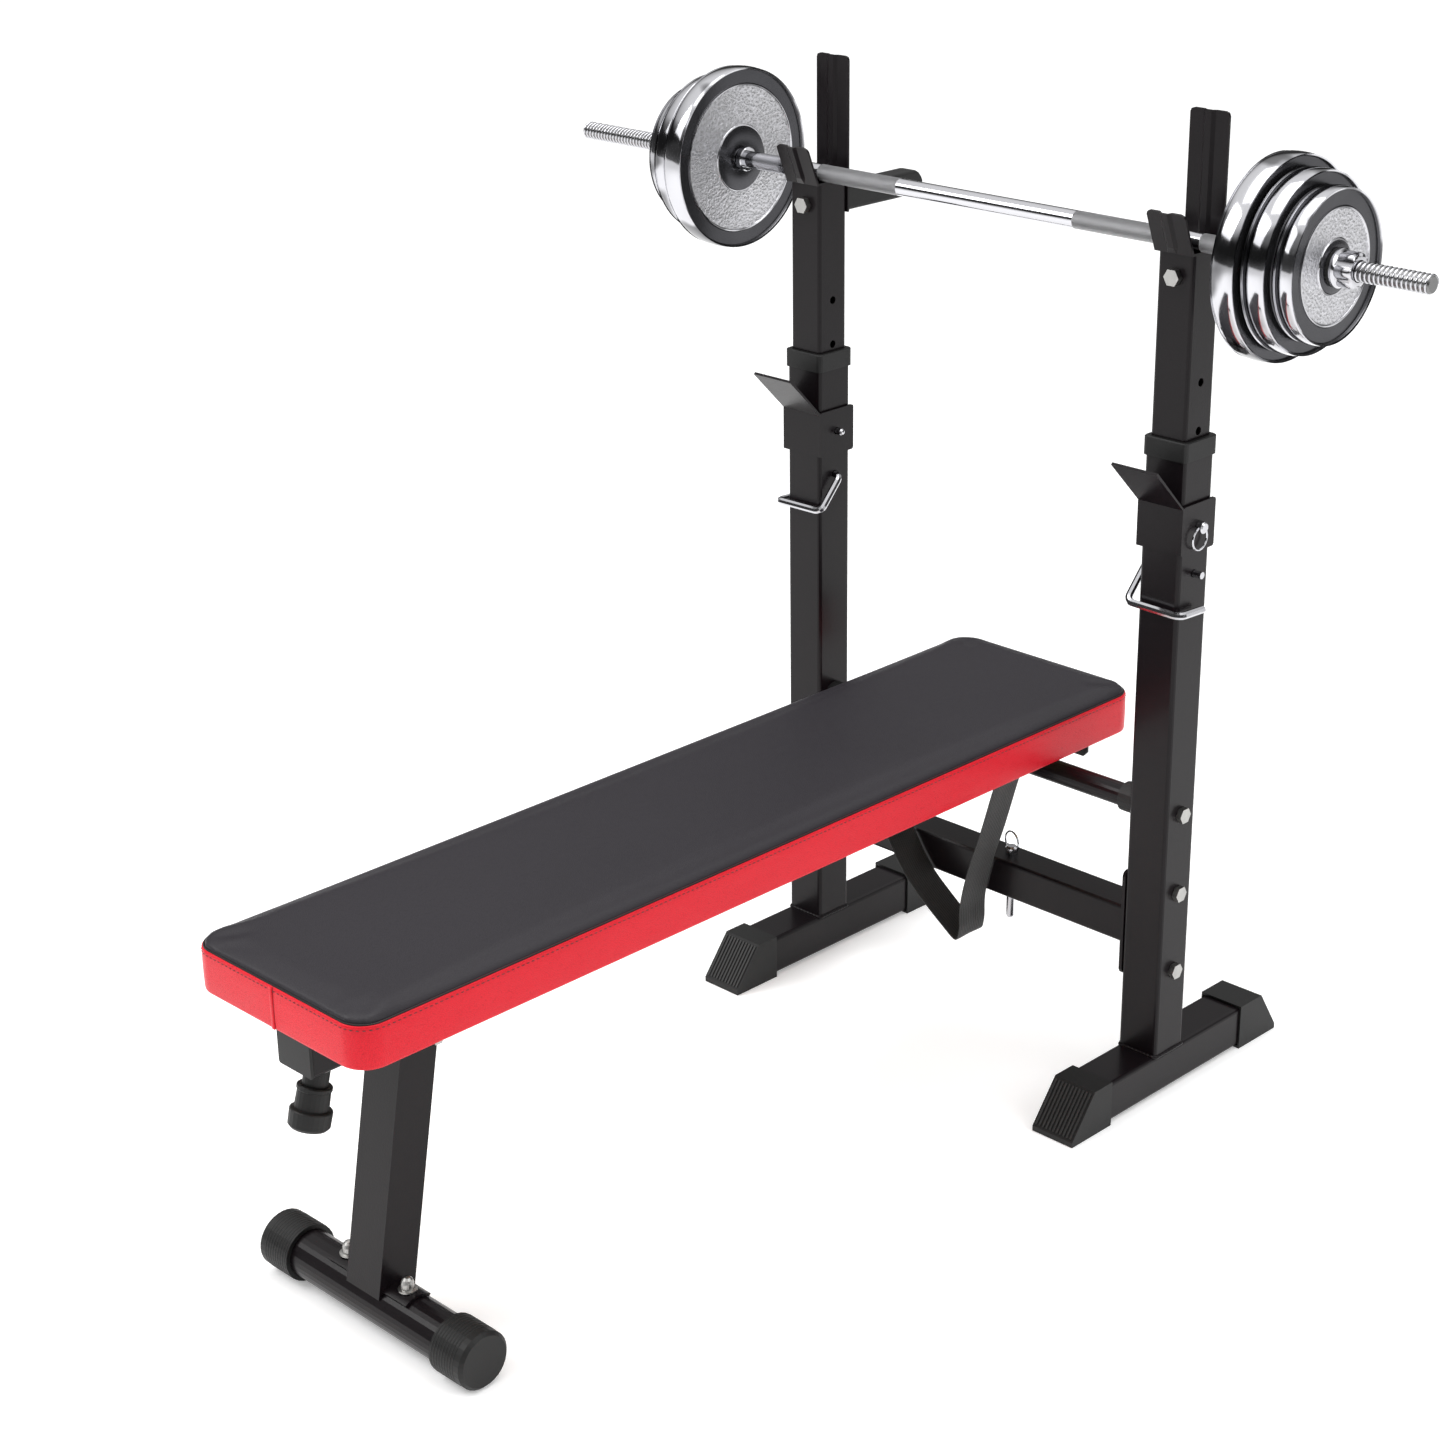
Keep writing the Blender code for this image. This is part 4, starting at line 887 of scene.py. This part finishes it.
class BENCH_OT_strap(bpy.types.Operator):
    """Hang the webbing loop under the pad"""
    bl_idname = "bench_press.strap"
    bl_label = "Strap"

    def execute(self, context):
        low, high = (Vector(p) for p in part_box("strap"))
        front, rear = low.y + 0.0004, high.y - 0.0004
        path = [
            (-0.1080, 0.3560), (-0.1050, 0.3000), (-0.0960, 0.2500), (-0.0800, 0.2170), (-0.0530, 0.1810),
            (-0.0200, 0.1520), (0.0060, 0.1330), (0.0240, 0.1235), (0.0290, 0.1380), (0.0300, 0.1690),
            (0.0420, 0.2180), (0.0560, 0.2640), (0.0700, 0.3080), (0.0840, 0.3560),
        ]
        path = [Vector((RACK_X + x, z)) for x, z in path]
        fine = self.smooth(path, 5)
        half = 0.0010
        steps = 8
        bm = bmesh.new()
        loops = []
        lengths = []
        length = 0.0
        for i, point in enumerate(fine):
            if i:
                length += (point - fine[i - 1]).length
            ahead = (fine[min(i + 1, len(fine) - 1)] - fine[max(i - 1, 0)]).normalized()
            normal = Vector((-ahead.y, ahead.x))
            wave = 0.0006 * math.sin(length * 55.0)
            row = []
            for face, order in ((1.0, range(steps + 1)), (-1.0, range(steps, -1, -1))):
                for k in order:
                    share = k / steps
                    thin = half * (1.0 - 0.5 * abs(2.0 * share - 1.0) ** 6)
                    bow = 0.0009 * math.sin(math.pi * share) + wave
                    spot = point + normal * (bow + face * thin)
                    row.append((spot.x, front + (rear - front) * share, spot.y))
            loops.append(row)
            lengths.append(length)
        loft(loops, bm=bm)
        layer = bm.loops.layers.uv.new("weave")
        bm.verts.index_update()
        width = 2 * (steps + 1)
        for face in bm.faces:
            for corner in face.loops:
                at, k = divmod(corner.vert.index, width)
                corner[layer].uv = (lengths[at], min(k, width - 1 - k) / steps)
        piece("webbing_loop", bm, FINISH["webbing"], "bench", ("strap",), 50.0)
        return {"FINISHED"}

    def smooth(self, points, steps):
        """Points on a smooth curve through the given ones."""
        out = []
        for i in range(len(points) - 1):
            a = points[max(i - 1, 0)]
            b = points[i]
            c = points[i + 1]
            d = points[min(i + 2, len(points) - 1)]
            for step in range(steps):
                t = step / steps
                out.append(0.5 * (
                    2.0 * b + (c - a) * t + (2.0 * a - 5.0 * b + 4.0 * c - d) * t * t
                    + (3.0 * b - a - 3.0 * c + d) * t * t * t
                ))
        out.append(points[-1])
        return out


class BENCH_OT_weights(bpy.types.Operator):
    """Turn the six weight discs"""
    bl_idname = "bench_press.weights"
    bl_label = "Weights"

    def execute(self, context):
        plating = tuple(context.scene.bench_colours.plating)
        looks = {
            "large": (0.036, 0.0825, 0.0985), "medium": (0.034, 0.072, 0.087),
            "small": (0.026, 0.0575, 0.0735),
        }
        for side, sign in SIDES:
            for size, (hub, inner, outer) in looks.items():
                node = f"plate_{size}_{side}"
                low, high = (Vector(p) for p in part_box(node))
                width = high.x - low.x
                radius = (high.z - low.z) / 2.0
                start = Vector((low.x if sign > 0 else high.x, BAR.y, BAR.z))
                rim = [
                    (0.0030, BORE), (0.0024, BORE + 0.0020), (0.0024, hub - 0.0030), (0.0032, hub - 0.0010),
                    (0.0032, hub + 0.0010), (0.0042, hub + 0.0022), (0.0042, inner - 0.0026),
                    (0.0028, inner - 0.0014), (0.0028, inner - 0.0002), (0.0040, inner + 0.0010),
                    (0.0040, outer - 0.0012), (0.0010, outer + 0.0004), (0.0004, outer + 0.0016),
                    (0.0012, radius - 0.0030),
                ]
                edge = []
                for step in range(13):
                    angle = math.pi * step / 12
                    crown = 0.0030 * math.sin(angle) ** 0.7 if 0 < step < 12 else 0.0
                    edge.append((width * 0.5 - (width * 0.5 - 0.0012) * math.cos(angle), radius - 0.0030 + crown))
                profile = rim[:-1] + edge + [(width - d, r) for d, r in rim[-2::-1]]
                bm = turned(profile, start, (sign, 0.0, 0.0), 112)
                finish = disc_face(f"{size} disc {side}", plating, hub, inner, outer)
                piece(f"weight_{size}_{side}", bm, finish, f"plates_{side}", (node,), 32.0)
        return {"FINISHED"}


class BENCH_OT_bar(bpy.types.Operator):
    """Turn the bar, cut its threads and fit the lock nuts"""
    bl_idname = "bench_press.bar"
    bl_label = "Bar"

    def execute(self, context):
        shape = context.scene.bench_shape
        plating = tuple(context.scene.bench_colours.plating)
        low, high = (Vector(p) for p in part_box("barbell_bar"))
        inner = {side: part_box(f"plate_large_{side}") for side, _ in SIDES}
        left_in = inner["left"][1][0] + 0.0003
        right_in = inner["right"][0][0] - 0.0003
        ends = {side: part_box(f"lock_washer_{side}") for side, _ in SIDES}
        left_thread = ends["left"][1][0] + 0.004
        right_thread = ends["right"][0][0] - 0.004
        tip = THREAD_ROOT - 0.0013
        profile = []
        halves = ((low.x, left_thread, left_in, 1.0), (high.x, right_thread, right_in, -1.0))
        for end, thread, stop, way in halves:
            half = [
                (end, 0.0), (end, tip), (end + way * 0.0018, THREAD_ROOT), (thread, THREAD_ROOT),
                (thread + way * 0.001, THREAD_CREST), (stop, THREAD_CREST), (stop, COLLAR - 0.0010),
                (stop + way * 0.0010, COLLAR), (stop + way * (COLLAR_WIDTH - 0.0010), COLLAR),
                (stop + way * COLLAR_WIDTH, COLLAR - 0.0010), (stop + way * COLLAR_WIDTH, SHAFT),
            ]
            profile += half if way > 0 else half[::-1]
        finish = knurled_bar("polished and knurled bar", plating, (
            (RACK_X - 0.235, RACK_X - 0.120), (RACK_X + 0.120, RACK_X + 0.222),
            (RACK_X + 0.278, right_in - 0.009),
        ))
        bm = turned(profile, (0.0, BAR.y, BAR.z), (1.0, 0.0, 0.0), 64)
        piece("bar_shaft", bm, finish, "barbell", ("barbell_bar",), 35.0)
        threads = []
        for start, stop in ((low.x + 0.001, left_thread), (right_thread, high.x - 0.001)):
            length = stop - start
            threads.append(grow(helix, {
                "Turns": length / shape.thread_pitch, "Radius": THREAD_ROOT - 0.0004, "Length": length,
                "Ridge": THREAD_CREST - THREAD_ROOT + 0.0004, "Place": (start, BAR.y, BAR.z),
                "Turn": (0.0, math.pi / 2.0, 0.0), "Material": FINISH["chrome"],
            }))
        bm = join_meshes(threads)
        bmesh.ops.recalc_face_normals(bm, faces=bm.faces)
        piece("bar_threads", bm, FINISH["chrome"], "barbell", smooth=80.0)
        for side, sign in SIDES:
            self.nut(side, sign)
        return {"FINISHED"}

    def nut(self, side, sign):
        low, high = (Vector(p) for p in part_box(f"spinlock_{side}"))
        face = low.x if sign > 0 else high.x
        width = high.x - low.x
        rows = (
            (0.0, BORE, 0.0), (0.0, 0.0188, 0.0), (0.0006, 0.0194, 0.0), (0.0030, 0.0194, 0.0),
            (0.0038, 0.0186, 0.0), (0.0052, 0.0166, 0.0010), (0.0064, 0.0164, 0.0015),
            (width - 0.0030, 0.0164, 0.0015), (width - 0.0012, 0.0156, 0.0013),
            (width - 0.0002, 0.0146, 0.0006), (width, 0.0130, 0.0), (width, BORE, 0.0),
        )
        loops = []
        for distance, radius, lobe in rows:
            x = face + sign * distance
            loop = []
            for i in range(96):
                angle = 2.0 * math.pi * i / 96
                wave = math.cos(6.0 * angle)
                reach = radius + lobe * math.copysign(abs(wave) ** 0.7, wave)
                loop.append((x, BAR.y + reach * math.cos(angle), BAR.z + reach * math.sin(angle)))
            loops.append(loop)
        nut = loft(loops, closed=True)
        piece(f"star_nut_{side}", nut, FINISH["chrome"], f"nut_{side}", (f"spinlock_{side}",), 35.0)


class BENCH_OT_caps(bpy.types.Operator):
    """Mould the ribs on the foot caps and lay the welds at the uprights' feet"""
    bl_idname = "bench_press.caps"
    bl_label = "Cap ribs and welds"

    def execute(self, context):
        shape = context.scene.bench_shape
        for side, _ in SIDES:
            for end, way in (("front", -1.0), ("rear", 1.0)):
                node = f"foot_cap_{side}_{end}"
                low, high = (Vector(p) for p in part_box(node))
                width = high.x - low.x
                toe = low.y if way < 0 else high.y
                count = shape.rib_count
                crest = toe - way * (0.0370 if way < 0 else 0.0298)
                run = Vector((0.0, toe - crest, 0.006 - high.z))
                centre = Vector(((low.x + high.x) / 2.0, crest, high.z)) + run * 0.5
                side_step = Vector((width * 0.94 / count, 0.0, 0.0))
                # The ribs take the lighter rib finish, a painted highlight.
                ribs = grow(rib_row, {
                    "Count": count, "Start": centre - side_step * ((count - 1) / 2.0), "Step": side_step,
                    "Size": (0.0024, run.length * 0.90, 0.0024), "Tilt": (math.atan2(run.z, run.y), 0.0, 0.0),
                    "Material": FINISH["rib"],
                })
                dress(f"cap_ribs_{side}_{end}", ribs, FINISH["rib"], "rack")
            node = f"front_foot_cap_{side}"
            low, high = (Vector(p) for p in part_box(node))
            length = high.x - low.x
            inner, way = (low.x, 1.0) if low.x > RACK_X else (high.x, -1.0)
            hoops = 9
            ribs = grow(hoop_row, {
                "Count": hoops, "Start": (inner + way * 0.0030, FOOT.y, FOOT.z),
                "Step": (way * length * 0.76 / hoops, 0.0, 0.0), "Radius": (high.z - low.z) / 2.0 - 0.0008,
                "Ridge": 0.0011, "Turn": (0.0, math.pi / 2.0, 0.0), "Material": FINISH["plastic"],
            })
            dress(f"foot_cap_ribs_{side}", ribs, FINISH["plastic"], "leg")
        for side, _ in SIDES:
            post = middle(f"guide_collar_{side}")
            weld(f"base_weld_{side}", (post.x, HINGE.y), 0.0250, 0.0502, "rack")
        return {"FINISHED"}


class BENCH_OT_stage(bpy.types.Operator):
    """Plain floor, soft lights and the camera"""
    bl_idname = "bench_press.stage"
    bl_label = "Stage"

    def execute(self, context):
        scene = context.scene
        camera = bpy.data.cameras.new("camera")
        camera.lens = 70.76
        camera.sensor_width = 36.0
        camera.clip_end = 60.0
        eye = bpy.data.objects.new("camera", camera)
        eye.location = (RACK_X + 1.8981, HINGE.y - 2.2836, 1.5879)
        eye.rotation_euler = Euler([math.radians(a) for a in (67.568, 0.7725, 45.062)], "XYZ")
        scene.collection.objects.link(eye)
        scene.camera = eye

        bm = bmesh.new()
        bmesh.ops.create_grid(bm, x_segments=8, y_segments=8, size=14.0)
        mesh = bpy.data.meshes.new("floor")
        bm.to_mesh(mesh)
        bm.free()
        mesh.materials.append(studio_floor("studio floor"))
        floor = bpy.data.objects.new("floor", mesh)
        floor.location = (0.0, 0.0, -0.0004)
        scene.collection.objects.link(floor)

        world = bpy.data.worlds.new("studio")
        world.use_nodes = True
        tree = world.node_tree
        sky = tree.nodes["Background"]
        place = tree.nodes.new("ShaderNodeTexCoord")
        split = tree.nodes.new("ShaderNodeSeparateXYZ")
        tree.links.new(place.outputs["Generated"], split.inputs[0])
        ramp = tree.nodes.new("ShaderNodeValToRGB")
        tree.links.new(split.outputs["Z"], ramp.inputs[0])
        stops = ((0.0, 0.10), (0.10, 0.05), (0.34, 0.04), (0.46, 0.55), (0.70, 1.05), (1.0, 1.2))
        while len(ramp.color_ramp.elements) < len(stops):
            ramp.color_ramp.elements.new(0.5)
        for element, (at, value) in zip(ramp.color_ramp.elements, stops):
            element.position = at
            element.color = (value, value, value, 1.0)
        seen = tree.nodes.new("ShaderNodeLightPath")
        backdrop = tree.nodes.new("ShaderNodeMix")
        backdrop.data_type = "RGBA"
        backdrop.inputs[7].default_value = (1.0, 1.0, 1.0, 1.0)
        tree.links.new(seen.outputs["Is Camera Ray"], backdrop.inputs[0])
        tree.links.new(ramp.outputs[0], backdrop.inputs[6])
        tree.links.new(backdrop.outputs[2], sky.inputs["Color"])
        sky.inputs["Strength"].default_value = 1.0
        scene.world = world
        scene.view_settings.view_transform = "Standard"

        for name, place, size, power in (
            ("key softbox", (-2.2, -2.6, 3.6), 2.4, 95.0),
            ("fill softbox", (3.2, 0.6, 2.4), 2.0, 30.0),
            ("top softbox", (0.0, 0.2, 4.2), 3.0, 60.0),
        ):
            light = bpy.data.lights.new(name, "AREA")
            light.shape = "SQUARE"
            light.size = size
            light.energy = power
            lamp = bpy.data.objects.new(name, light)
            lamp.location = place
            aim = Vector((0.0, 0.0, 0.45)) - Vector(place)
            lamp.rotation_euler = aim.to_track_quat("-Z", "Y").to_euler()
            scene.collection.objects.link(lamp)
        return {"FINISHED"}


class BENCH_PT_panel(bpy.types.Panel):
    """Lists the steps and their settings"""
    bl_idname = "BENCH_PT_panel"
    bl_label = "Bench Press"
    bl_space_type = "VIEW_3D"
    bl_region_type = "UI"
    bl_category = "Bench Press"

    def draw(self, context):
        layout = self.layout
        for group in (context.scene.bench_shape, context.scene.bench_colours):
            column = layout.column()
            for key in group.__annotations__:
                column.prop(group, key)
        for operator in OPERATORS:
            layout.operator(operator.bl_idname)


OPERATORS = (
    BENCH_OT_stage, BENCH_OT_finishes, BENCH_OT_weights, BENCH_OT_bar, BENCH_OT_caps, BENCH_OT_strap,
    BENCH_OT_pad,
)
CLASSES = (BenchPressShape, BenchPressColours, *OPERATORS, BENCH_PT_panel)


def register():
    for item in CLASSES:
        bpy.utils.register_class(item)
    bpy.types.Scene.bench_shape = bpy.props.PointerProperty(type=BenchPressShape)
    bpy.types.Scene.bench_colours = bpy.props.PointerProperty(type=BenchPressColours)


def unregister():
    del bpy.types.Scene.bench_colours
    del bpy.types.Scene.bench_shape
    for item in reversed(CLASSES):
        bpy.utils.unregister_class(item)


def main():
    register()
    for obj in list(bpy.data.objects):
        if obj.name in ("Cube", "Light", "Camera"):
            bpy.data.objects.remove(obj, do_unlink=True)
    bpy.ops.bench_press.stage()
    bpy.ops.bench_press.finishes()
    bpy.ops.bench_press.weights()
    bpy.ops.bench_press.bar()
    bpy.ops.bench_press.caps()
    bpy.ops.bench_press.strap()
    bpy.ops.bench_press.pad()


if __name__ == "__main__":
    main()
